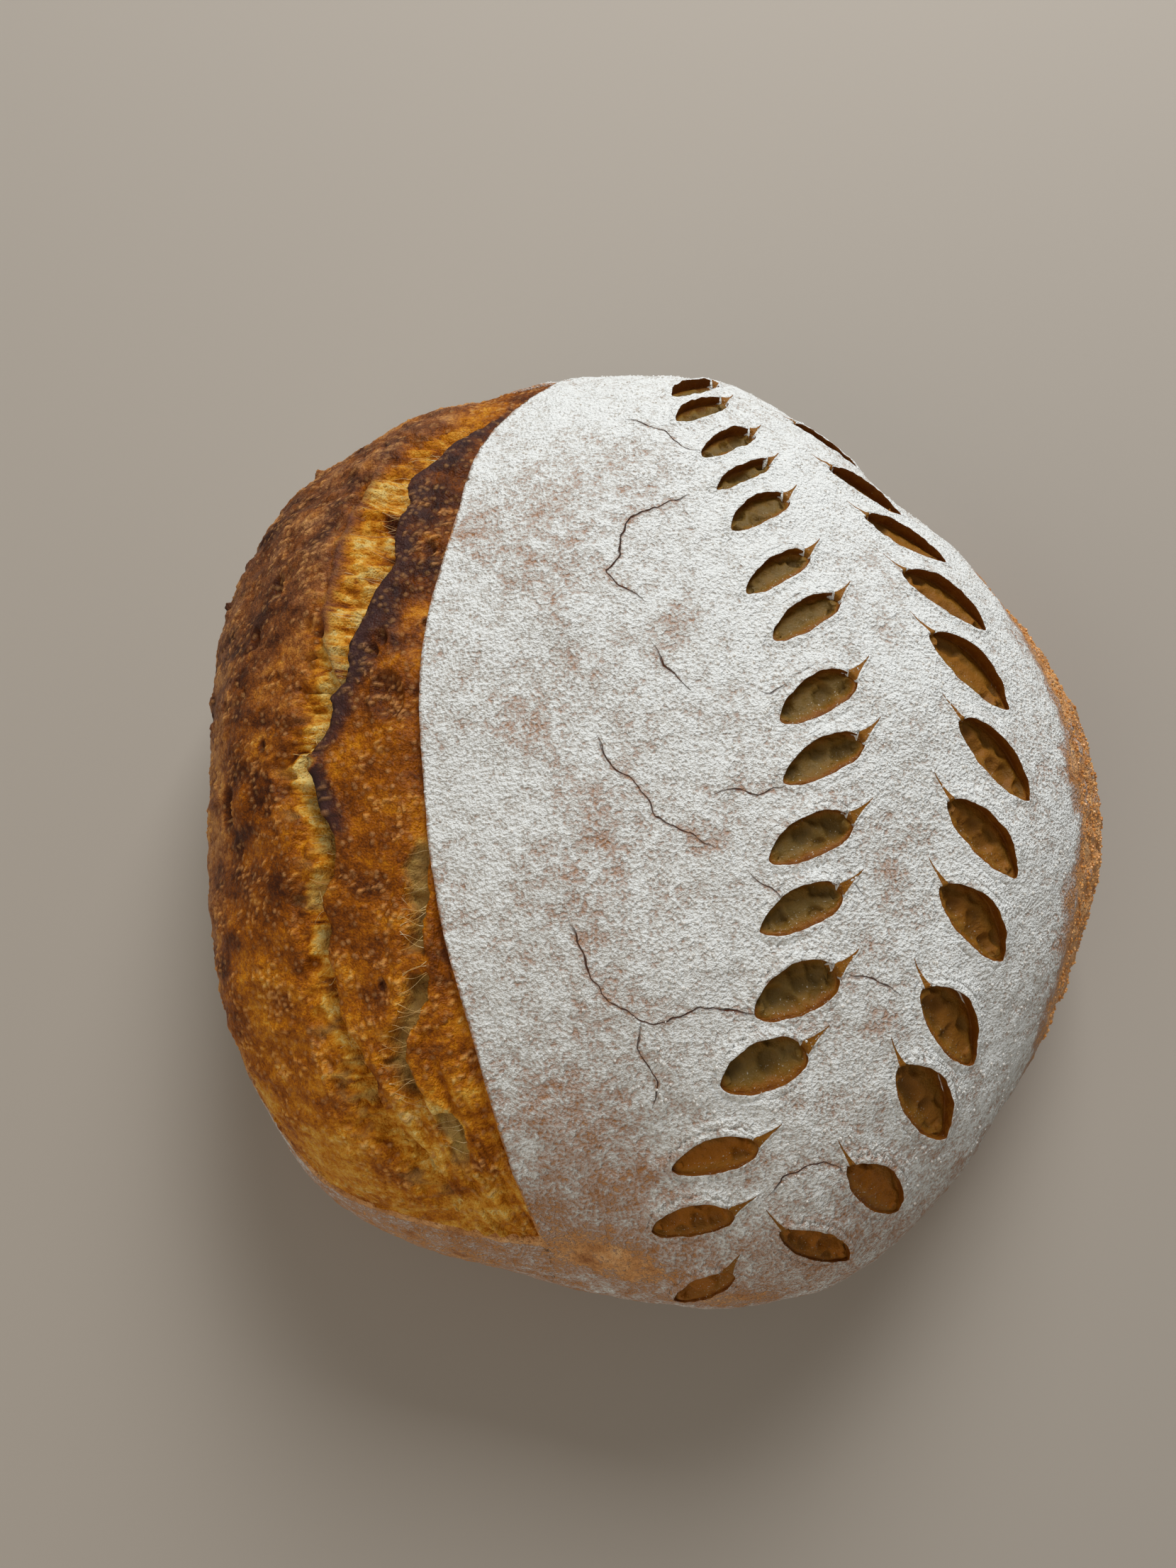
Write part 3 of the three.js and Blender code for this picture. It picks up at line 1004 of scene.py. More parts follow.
        fibre = np.abs(noise(np.stack([x * 0.2 + 0.4 * wander, y], 1), 1.9, 34, 2))
        folds = np.abs(noise(np.stack([x * 0.3, y], 1), 5.5, 35))
        shreds = open_ * rise(depth, 0, 0.25)
        lower = rise(-y, 0, 25)
        height += shreds * ((2.0 - 0.9 * lower) * (fibre - 0.3) + (2.0 - 1.3 * lower) * (folds - 0.3))
        pocket, pocket_owner = bubbles(np.stack([x * 0.7, y], 1) + 0.9 * wander[:, None], 4.2, 60)
        pocket_depth = shreds * (0.25 + 0.75 * lower) * (pocket_owner > 0.35)
        height += pocket_depth * (0.5 * hump(pocket, 0.52, 0.09) - 1.1 * rise(0.5 - pocket, 0, 0.3))

        side = x - self.side_split(y) + 0.9 * noise(flat, 3.2, 36, 2)
        side_depth = self.side_depth(y)
        along = np.stack([y, 0 * y], 1)
        narrow = 1.5 * noise(along, 9, 61, 3) + 0.5
        parted = rise(noise(along, 11, 62, 2), -0.38, -0.12)
        gap = rise(side, -3.4 + narrow, -2.2 + narrow) * (1 - rise(side, 1.3, 1.9))
        gap = gap * rise(side_depth, 0, 0.3) * parted
        height -= 4.4 * side_depth * gap
        height += gap * 1.2 * np.abs(noise(np.stack([x * 0.25, y], 1), 2.1, 37))
        furrowed = rise(-y, 48, 70) * rise(u, -6, 3)
        furrows = np.abs(noise(np.stack([x + 0.36 * y, y * 0.12], 1), 5.0, 39, 2)) * furrowed
        height += 3.0 * (furrows - 0.3 * furrowed)
        height += 0.7 * side_depth * (hump(side, -4.6, 1.4) + hump(side, 3.2, 1.3))

        rope = (x - self.rope(y)) + 0.5 * noise(flat, 5, 38)
        roped = rise(y, 12, 22) * (1 - rise(y, 70, 86))
        height = height * (1 - 0.7 * roped * hump(rope, 0, 1.6)) + 1.3 * roped * hump(rope, 0, 1.2)

        near, owner = bubbles(np.stack([x * 0.6, y], 1) + 1.1 * wander[:, None], 1.35, 41)
        crowd = rise(noise(flat, 11, 42, 2), -0.35, 0.45)
        blister = rise(0.4 - near, 0, 0.25) * rise(owner * crowd, 0.3, 0.5)
        coarse, coarse_owner = bubbles(np.stack([x * 0.6, y], 1) + 1.5 * wander[:, None], 5.2, 44)
        big = rise(0.36 - coarse, 0, 0.25) * (coarse_owner > 0.78)
        skin = 1 - 0.85 * shreds - gap
        height += np.maximum(skin, 0) * (0.34 * blister + 0.5 * big) + 0.2 * noise(flat, 1.6, 47, 2)

        bake_and_shade = 0.5 + 0.15 * noise(flat, 19, 51, 2) + 0.17 * noise(stretched, 5, 52, 4)
        bake_and_shade += furrowed * (0.12 - 0.4 * np.minimum(furrows, 0.6))
        far = u / strip + 0.35 * noise(flat, 6, 56, 3)
        upper_char = right * rise(y, 6, 34) * (1 - rise(y, 84, 108)) * (1 - rise(far, 0.1, 0.95))
        bake_and_shade += (0.2 + 0.24 * noise(flat, 4, 55, 3)) * upper_char + 0.1 * right * rise(y, 10, 40)
        bake_and_shade += 0.13 * rise(side, 1, 4) * side_depth - 0.17 * rise(-y, 30, 80)
        bake_and_shade -= 0.1 * left * rise(y, 62, 104)
        bake_and_shade += left * (0.06 * rise(-x, 96, 110) - 0.16 * rise(-x, 110, 126)) + 0.08 * left * rise(y, 20, 80)
        bake_and_shade += 0.17 * rise(noise(flat, 15, 59, 2), 0.0, 0.5) * left * (1 - rise(-y, 50, 85))
        bake_and_shade -= 0.06 * roped * hump(rope, 0, 1.3) + 0.22 * blister * np.maximum(skin, 0)
        crescents = hump(coarse, 0.42, 0.11) * (coarse_owner > 0.55) * rise(noise(flat, 3, 67), -0.1, 0.3)
        crescents = crescents * left * rise(y, -40, 0)
        height -= 0.4 * crescents
        bake_and_shade += 0.14 * crescents
        curl = rise(y, -18, -10) * (1 - rise(y, 26, 38))
        bake_and_shade += 0.42 * curl * hump(u, 0.9, 1.9)
        uneven = rise(noise(flat, 4, 54, 3), -0.6, 0.5)
        charred_edge = upper_char * hump(u + 1.2 * wander, 0.5, 2.6) * rise(y, 24, 44)
        rosy = 0.85 * roped * hump(rope, 0, 1.1) + (0.04 + 0.16 * uneven) * upper_char
        rosy = np.clip(rosy + 0.7 * curl * hump(u, 0.9, 1.7) + 0.4 * charred_edge, 0, 1)
        tan = left * rise(y + 9 * noise(flat, 20, 64), -8, 62) * (0.7 + 0.5 * noise(flat, 6, 65, 2))
        tan = tan + 0.7 * left * rise(-x, 108, 124) * (1 - rise(-y, 60, 90))
        tan = tan + 0.7 * upper_char * rise(noise(flat, 3.5, 66, 2), -0.4, 0.3)
        bake_and_shade += 0.12 * charred_edge
        # The pale torn crumb fades out toward the main crevice's bottom, where the darker baked colour stays
        # as painted shade.
        torn = shreds * rise(across, 0.02, 0.12) * (1 - rise(across + 0.2 * wander, 0.72, 1.0))
        torn = np.maximum(torn * (0.55 + 0.4 * rise(depth, 0.2, 0.8)), 0.55 * gap)
        # The creases between the torn fibres are painted darker, more so in patches: painted shade in the
        # creases.
        shaded_gap_patches = rise(-noise(np.stack([x * 0.3, y], 1), 4.2, 53), 0.1, 0.5)
        caramel = rise(noise(flat, 8, 58, 3), 0.0, 0.4)
        crumb = 0.06 + 0.34 * shaded_gap_patches * rise(fibre, 0.25, 0.05)
        crumb = crumb + 0.2 * rise(0.2 - fibre, 0, 0.2) + 0.2 * caramel
        bake_and_shade = bake_and_shade * (1 - torn) + torn * crumb
        band = hump(across, 0.25, 0.55) * rise(-y, 20, 50) * (1 - rise(-y, 96, 118))
        bake_and_shade -= 0.14 * band * rise(noise(flat, 9, 68, 3), -0.5, 0.4) * (1 - torn)

        # Inside each pit the colour is painted dark brown, with its purple and dull tints taken out: painted
        # shade in the hole. A slightly paler ring goes round it.
        for px, py, radius, deep in self.pits:
            off = spot(x, y, (px, py), (radius * 0.8, radius * 1.2))
            height -= deep * rise(1.25 - off, 0, 0.8)
            hole = rise(1.3 - off, 0, 0.5)
            bake_and_shade = bake_and_shade * (1 - hole) + 0.78 * hole - 0.08 * hump(off, 1.5, 0.25)
            rosy, tan = rosy * (1 - hole), tan * (1 - hole)
        # The large open bubble gets a pale cream rim, and inside it a darker olive colour that is painted
        # shade in the hole.
        cell = spot(x, y, *self.open_cell) + 0.12 * wander
        height += 0.9 * hump(cell, 1.15, 0.25) - 4.2 * rise(1.05 - cell, 0, 0.5)
        bake_and_shade = np.where(cell < 1.35, bake_and_shade * rise(cell, 1.1, 1.35) + 0.34 * rise(1.0 - cell, 0, 0.5), bake_and_shade)
        torn = np.maximum(torn, rise(1.35 - cell, 0, 0.2))
        patches = rise(-noise(np.stack([x * 0.5, y], 1), 5.5, 57, 3), 0.0, 0.35)
        moist = shreds * patches * rise(across, 0.0, 0.15) * (0.1 + 0.5 * rise(-y, -20, 25))
        olive = np.maximum(0.95 * gap, moist)
        olive = np.clip(np.maximum(olive, 0.8 * rise(1.05 - cell, 0, 0.4)), 0, 1)
        dent = spot(x, y, *self.dent)
        height -= 1.3 * rise(1.15 - dent, 0, 0.5) - 0.5 * hump(dent, 1.15, 0.2)
        for px, py, tall in self.flakes:
            flake = spot(x, y, (px, py), (1.1, 1.5)) + 0.3 * noise(flat, 1.5, 63)
            height += tall * rise(1.2 - flake, 0, 0.7)
            bake_and_shade += 0.12 * rise(1.2 - flake, 0, 0.7)
        blob = spot(x, y, *self.blob)
        height += 1.8 * rise(1.2 - blob, 0, 1.0)
        bake_and_shade += 0.12 * hump(blob, 1.1, 0.3)

        shift = -1.9 * curl * hump(u, 0.2, 1.3) * right - 0.7 * depth * hump(u, 0.1, 0.9) * right
        return {
            "height": height,
            "shift": shift,
            "bake_and_shade": np.clip(bake_and_shade, 0, 1),
            "torn": np.clip(torn, 0, 1),
            "rosy": rosy,
            "speck": blister * np.maximum(skin, 0),
            "olive": olive,
            "tan": np.clip(tan, 0, 1),
        }

    def places(self) -> Pair:
        """The grid's places on the crust, in rows along the slash and columns to the right.

        Returns:
            Their x and y.
        """
        y = np.linspace(*self.ends, self.rows)
        left, right = self.borders(y)
        split = np.clip(self.main_split(y), left + 0.3 * (right - left), left + 0.8 * (right - left))
        wall = np.minimum(1.1, 0.05 * (right - left))
        right = right + self.overlap
        knots = (left, split - wall, split, right)
        counts = (self.mass, self.wall, self.strip)
        parts = [
            a[:, None] + (b - a)[:, None] * np.linspace(0, 1, count, endpoint=False)
            for a, b, count in zip(knots[:-1], knots[1:], counts)
        ]
        x = np.concatenate([*parts, right[:, None]], axis=1)
        return x, np.repeat(y[:, None], x.shape[1], axis=1)

    def build(self) -> Object:
        """Builds the burst as a thick closed sheet.

        Returns:
            The piece.
        """
        x, y = self.places()
        looks = self.surface(x.ravel(), y.ravel())
        points = self.dome.crust(x.ravel() + looks["shift"], y.ravel(), looks["height"])
        numbers = np.arange(x.size).reshape(x.shape)
        rows = np.linspace(0, self.rows - 1, self.back_rows).astype(int)
        columns = np.linspace(0, x.shape[1] - 1, self.back_columns).astype(int)
        bx, by = x[np.ix_(rows, columns)], y[np.ix_(rows, columns)]
        middle = bx.mean(axis=1, keepdims=True)
        back_width, back_length = self.back_size
        bx = middle + (bx - middle) * back_width
        deep = self.dome.crust(bx.ravel(), (by * back_length).ravel(), np.full(bx.size, -self.backing))
        back = numbers.size + np.arange(bx.size).reshape(bx.shape)
        faces = [grid_faces(numbers), grid_faces(back)[:, ::-1]]
        front_border, back_border = border(numbers), border(back)
        shares = self.shares(points, front_border, deep, back_border - x.size)
        faces.append(join_loops(front_border, back_border, shares)[:, ::-1])
        values = {key: np.concatenate([looks[key], np.full(bx.size, 0.5)]) for key in self.LOOKS}
        points = np.concatenate([points, deep]) - CENTRE
        return make_object("torn_burst", points, np.concatenate(faces), values)

    def shares(self, points: Array, loop: Array, deep: Array, deep_loop: Array) -> Pair:
        """Measures how far round each border the middle of each of its sides is.

        Args:
            points: The front's points.
            loop: Point numbers round the front's border.
            deep: The back's points.
            deep_loop: Point numbers round the back's border.

        Returns:
            Shares of the way round, for the front and for the back.
        """
        shares = []
        for place, numbers in ((points, loop), (deep, deep_loop)):
            step = np.linalg.norm(place[np.roll(numbers, -1)] - place[numbers], axis=1)
            shares.append((np.cumsum(step) - step / 2) / step.sum())
        return shares[0], shares[1]


@dataclass(frozen=True)
class Shell:
    """One cut's mesh.

    Attributes:
        points: Points in millimetres, one a row.
        faces: Corners of each triangle, one triangle a row.
        finishes: The number of each triangle's material.
        looks: Numbers for each point, by the name that a material reads.
    """

    points: Array
    faces: Array
    finishes: Array
    looks: dict[str, Array]


@dataclass
class LeafCuts:
    """The leaf-shaped cuts, each with floured lip, undercut wall and baked floor, and the nick that ends it.

    Attributes:
        around: Points round a cut's outline.
        lip_rows: How far outside the outline each row of the lip lies.
        wall_rows: How far down the wall each of its rows lies, as a share.
        floor_rows: How far in from the wall's foot each row of the floor lies, as a share.
        depth: The depth of a cut of usual width.
        low_end: Cuts below this y were torn open less: they are shallower, and golden.
        low_depth: A low cut's share of the usual depth.
        undercut: How far the wall runs in under the skin for each millimetre down.
        tuck: How far the lip's rows lie below the skin.
        dive: How far its outermost row lies below that.
        backing: How deep the hidden point that closes a cut lies.
        cell_size: Distance between the floor's large bubbles.
        small_cell_size: Distance between its small ones.
        nick_around: Points round a nick's outline.
        nick_rows: How far outside the nick each row lies, and how far above the skin.
    """

    skin: FlouredCrust
    around: int = 116
    lip_rows: tuple[float, ...] = (2.5, 2.0, 1.5, 1.05, 0.7, 0.4, 0.18, 0.05)
    wall_rows: tuple[float, ...] = (0.0, 0.06, 0.22, 0.5, 0.8)
    floor_rows: tuple[float, ...] = (0.0, 0.05, 0.11, 0.18, 0.26, 0.35, 0.45, 0.56, 0.68, 0.81, 0.93)
    depth: float = 3.0
    low_end: float = -70.0
    low_depth: float = 0.55
    undercut: float = 0.35
    tuck: float = 0.1
    dive: float = 0.7
    backing: float = 9.0
    cell_size: float = 4.6
    small_cell_size: float = 2.3
    nick_around: int = 44
    nick_rows: Points = (
        (1.1, -0.5), (0.75, 0.0), (0.45, 0.1), (0.2, 0.16), (0.0, 0.1),
    )

    def outline(self, leaf: Leaf) -> Pair:
        """Draws the cut's outline from its outer tip along its upper side and back.

        Args:
            leaf: The cut.

        Returns:
            Shares along and distances across.
        """
        turn = np.linspace(0.0, 2 * math.pi, self.around, endpoint=False)
        share = (1 - np.cos(turn)) / 2
        side = np.where(turn < math.pi, 1.0, -1.0)
        return share, leaf.middle(share) + side * leaf.half_width(share)

    def outward(self, along: Array, across: Array) -> Pair:
        """Finds the outward direction at each point of an outline that runs clockwise.

        Args:
            along: Each point's distance along.
            across: Its distance across.

        Returns:
            The direction's parts along and across.
        """
        dx, dy = np.roll(along, -1) - np.roll(along, 1), np.roll(across, -1) - np.roll(across, 1)
        length = np.maximum(np.hypot(dx, dy), 1e-6)
        return -dy / length, dx / length

    def cut(self, leaf: Leaf, seed: int) -> Shell:
        """Builds one cut: lip, wall, floor, and a hidden point below that closes it.

        Args:
            leaf: The cut.
            seed: Picks its ragged edge and its bubbles.

        Returns:
            Its mesh.
        """
        dome = self.skin.dome
        share, across = self.outline(leaf)
        rough = np.stack(leaf.place(share, across), 1)
        ragged = 0.3 * noise(rough, 4.2, seed) + 0.14 * noise(rough, 1.5, seed + 1)
        nx, ny = self.outward(share * leaf.length, across)
        share, across = share + ragged * nx / leaf.length, across + ragged * ny
        above = np.clip((across - leaf.middle(share)) / (0.4 * leaf.width), -1, 1)
        ends = (4 * np.clip(share, 0.02, 0.98) * (1 - np.clip(share, 0.02, 0.98))) ** 0.5
        low = leaf.y < self.low_end
        size = self.depth * (0.55 + 0.45 * leaf.width / 10) * (self.low_depth if low else 1.0)
        foot = size * (0.14 + 0.5 * rise(above, -0.4, 0.9) * ends)
        under = self.undercut * rise(above, -0.3, 0.8) - 0.35 * rise(-above, -0.1, 0.8)
        core_share = np.clip(share, 0.14, 0.88)
        core_across = leaf.middle(core_share) + 0.06 * leaf.width * np.sign(above)

        px, py, heights, inner = [], [], [], []
        for gap in self.lip_rows:
            x, y = leaf.place(share + gap * nx / leaf.length, across + gap * ny)
            sunk = self.tuck * rise(gap, 0.7, self.lip_rows[1]) + self.dive * rise(gap, *self.lip_rows[1::-1])
            sunk = sunk + 1.4 * rise(0.6 - leaf.nick_gap(x, y), 0, 0.4)
            px.append(x)
            py.append(y)
            heights.append(self.skin.skin(x, y) + 0.03 - sunk)
            inner.append(np.zeros(self.around))
        top = heights[-1]
        for down in self.wall_rows:
            gap = under * foot * down - 0.05 * (down > 0)
            x, y = leaf.place(share + gap * nx / leaf.length, across + gap * ny)
            px.append(x)
            py.append(y)
            heights.append(top * (1 - down) - foot * down - 0.03)
            # The wall's rows take the darkest colour of the cut's finish: painted shade under the lip.
            inner.append(np.full(self.around, 0.02))
        wall_share, wall_across = share + under * foot * nx / leaf.length, across + under * foot * ny
        for inward in self.floor_rows:
            at_share = wall_share + (core_share - wall_share) * inward
            at_across = wall_across + (core_across - wall_across) * inward
            x, y = leaf.place(at_share, at_across)
            flat = np.stack([x, y], 1)
            near, owner = bubbles(flat, self.cell_size, seed + 2)
            small, small_owner = bubbles(flat, self.small_cell_size, seed + 5)
            cells = 1.3 * rise(0.58 - near, 0, 0.24) * (owner > 0.3)
            cells += 0.4 * rise(0.45 - small, 0, 0.3) * (small_owner > 0.4)
            deep = foot * (1 - rise(inward, 0, 0.9)) + size * 0.66 * ends * rise(inward, 0, 0.9)
            deep += rise(inward, 0.1, 0.6) * (0.9 * cells - 0.3)
            px.append(x)
            py.append(y)
            heights.append(0.2 * noise(flat, 2.4, seed + 8, 2) * rise(inward, 0, 0.3) - deep)
            inner.append(np.full(self.around, 0.04 + 0.96 * inward))
        x, y = np.concatenate(px), np.concatenate(py)
        points = dome.crust(x, y, np.concatenate(heights))
        apex = dome.crust(*(np.array([c]) for c in leaf.place(0.5, 0.0)), np.array([-self.backing]))
        numbers = np.arange(len(x)).reshape(-1, self.around)
        closed = np.concatenate([numbers, numbers[:, :1]], axis=1)
        skin_faces = grid_faces(closed[: len(self.lip_rows) + 1])
        cut_faces = [grid_faces(closed[len(self.lip_rows) :])]
        cut_faces.append(self.slit_faces(numbers[-1]))
        fan = fan_faces(numbers[0], len(x))
        faces = np.concatenate([skin_faces, fan, *cut_faces])
        floured = np.arange(len(faces)) < len(skin_faces) + len(fan)
        finishes = np.where(floured, 0, 1)
        flat = np.stack([x, y], 1)
        near, owner = bubbles(flat, self.cell_size, seed + 2)
        deep_in = np.concatenate(inner)
        looks = {key: v for key, (v, _) in self.skin.values(x, y).items()}
        looks["inward"] = deep_in
        looks["cells"] = 0.5 * rise(0.6 - near, 0, 0.45) * (owner > 0.3) * rise(deep_in, 0.1, 0.5)
        looks["upper"] = np.tile(above, len(px))
        looks["gold"] = np.full(len(x), 1.4 if low else {Side.RIGHT: 0.75, Side.LEFT: 0.1}[leaf.side])
        if leaf.side is Side.LEFT:
            faces = faces[:, ::-1]
        looks = {key: np.append(found, 0) for key, found in looks.items()}
        return Shell(np.concatenate([points, apex]), faces, finishes, looks)

    def slit_faces(self, loop: Array) -> Array:
        """Fills a slit whose ends are the first point of its loop and the middle one.

        Args:
            loop: The point numbers round it.

        Returns:
            Corners of the triangles.
        """
        half = len(loop) // 2
        faces = grid_faces(np.stack([loop[: half + 1], loop[np.arange(0, -half - 1, -1)]]))
        same = (faces[:, 0] == faces[:, 1]) | (faces[:, 1] == faces[:, 2]) | (faces[:, 0] == faces[:, 2])
        return faces[~same]

    def nick(self, leaf: Leaf) -> Shell:
        """Builds the shallow nick past one cut's inner end.

        Args:
            leaf: The cut.

        Returns:
            Its mesh.
        """
        half = self.nick_around // 2
        t = np.concatenate([np.linspace(0, 1, half + 1), np.linspace(1, 0, half + 1)[1:-1]])
        side = np.where(np.arange(self.nick_around) <= half, 1.0, -1.0)
        start, reach, turn = leaf.nick_start, leaf.nick_reach, leaf.nick_turn
        thick = leaf.nick_half_width(t)
        run, off = t * reach, thick * side + 0.6 * t * t
        along = start * leaf.length + run * math.cos(turn) - off * math.sin(turn)
        across = 0.1 * leaf.width + run * math.sin(turn) + off * math.cos(turn)
        nx, ny = self.outward(along, across)
        px, py, heights = [], [], []
        for gap, high in self.nick_rows:
            x, y = leaf.place((along + gap * nx) / leaf.length, across + gap * ny)
            px.append(x)
            py.append(y)
            inside = -leaf.gap(x, y)
            drop = 2.5 * rise(inside, -0.3, 0.1) if gap else 1.8 * rise(inside, -0.1, 1.4)
            heights.append(self.skin.skin(x, y) + high - drop)
        for inward, high in ((0.25, 0.1), (0.75, 0.0)):
            x, y = leaf.place(along / leaf.length, across - off * inward * math.cos(turn))
            px.append(x)
            py.append(y)
            heights.append(self.skin.skin(x, y) + high + 0.02 - 1.8 * rise(-leaf.gap(x, y), -0.1, 1.4))
        x, y = np.concatenate(px), np.concatenate(py)
        points = self.skin.dome.crust(x, y, np.concatenate(heights))
        numbers = np.arange(len(x)).reshape(-1, self.nick_around)
        closed = np.concatenate([numbers, numbers[:, :1]], axis=1)
        outside = len(self.nick_rows)
        middle = (start * leaf.length + 0.4 * reach) / leaf.length
        apex = self.skin.dome.crust(*(np.array([c]) for c in leaf.place(middle, 0.0)), np.array([-3.0]))
        skin_faces = grid_faces(closed[:outside])
        fan = fan_faces(numbers[0], len(x))
        inside = np.concatenate([grid_faces(closed[outside - 1 :]), self.slit_faces(numbers[-1])])
        faces = np.concatenate([skin_faces, fan, inside])
        in_cut = leaf.gap(x, y)[skin_faces].max(axis=1) < 0
        finishes = np.concatenate([in_cut, np.zeros(len(fan)), np.ones(len(inside))])
        looks = {key: v for key, (v, _) in self.skin.values(x, y).items()}
        looks |= {"inward": np.full(len(x), 0.35), "cells": np.zeros(len(x)), "upper": np.full(len(x), -1.0)}
        looks["gold"] = np.ones(len(x))
        if leaf.side is Side.LEFT:
            faces = faces[:, ::-1]
        looks = {key: np.append(found, 0) for key, found in looks.items()}
        return Shell(np.concatenate([points, apex]), faces, finishes, looks)

    def join(self, name: str, shells: list[Shell]) -> Object:
        """Makes one piece of many shells.

        Args:
            name: The piece's name.
            shells: The cuts' meshes.

        Returns:
            The piece.
        """
        starts = np.cumsum([0] + [len(shell.points) for shell in shells])
        points = np.concatenate([shell.points for shell in shells]) - CENTRE
        faces = np.concatenate([shell.faces + start for shell, start in zip(shells, starts)])
        values = {key: np.concatenate([shell.looks[key] for shell in shells]) for key in shells[0].looks}
        return make_object(name, points, faces, values, np.concatenate([shell.finishes for shell in shells]))

    def build(self) -> list[Object]:
        """Builds the cuts and their nicks as one piece each.

        Returns:
            The cuts, and their nicks.
        """
        leaves = self.skin.ear.leaves
        return [
            self.join("leaf_cuts", [self.cut(leaf, 100 + 13 * i) for i, leaf in enumerate(leaves)]),
            self.join("cut_nicks", [self.nick(leaf) for leaf in leaves]),
        ]


def linear(hex_colour: str) -> tuple[float, float, float, float]:
    """Turns an sRGB hex colour into the linear one that a node takes."""
    parts = [int(hex_colour[i : i + 2], 16) / 255 for i in (1, 3, 5)]
    return (*(c / 12.92 if c <= 0.04045 else ((c + 0.055) / 1.055) ** 2.4 for c in parts), 1.0)


def per(size: float) -> float:
    """The scale of a pattern on Object coordinates whose features are this many millimetres apart."""
    return 1.0 / (size * MM)


def add_node(
    tree: NodeTree,
    kind: str,
    links: dict | None = None,
    output: str | int = 0,
    stops: Stops = (),
    **settings: object,
) -> NodeSocket:
    """Adds a node.

    Args:
        tree: The tree it goes into.
        kind: Its type.
        links: What each input gets, a value or another node's output, by the input's name or number. A Map
            Range's numbers are 0 for the value, 1 and 2 for where it starts and ends, and 3 and 4 for what
            that becomes. A Mix's are 0 for the share, and 6 and 7 for the colours.
        output: The output wanted.
        stops: Places and colours of a colour ramp, in rising order.
        settings: Its other settings.

    Returns:
        The output.
    """
    node = tree.nodes.new(kind)
    for key, value in settings.items():
        setattr(node, key, value)
    for key, value in (links or {}).items():
        if isinstance(value, NodeSocket):
            tree.links.new(value, node.inputs[key])
        else:
            node.inputs[key].default_value = value
    for i, (stop, colour) in enumerate(stops):
        known = node.color_ramp.elements
        if i == 0:
            known.remove(known[-1])
        element = known[0] if i == 0 else known.new(stop)
        element.position, element.color = stop, linear(colour)
    return node.outputs[output]


def new_material(name: str, roughness: float, specular: float) -> tuple[Material, Node]:
    """Makes a material.

    Args:
        name: Its name.
        roughness: How rough it is, from 0 to 1.
        specular: How strongly it reflects, where 0.5 is usual.

    Returns:
        The material and its shader.
    """
    material = bpy.data.materials.new(name)
    material.use_nodes = True
    shader = material.node_tree.nodes["Principled BSDF"]
    shader.inputs["Roughness"].default_value = roughness
    shader.inputs["Specular IOR Level"].default_value = specular
    return material, shader


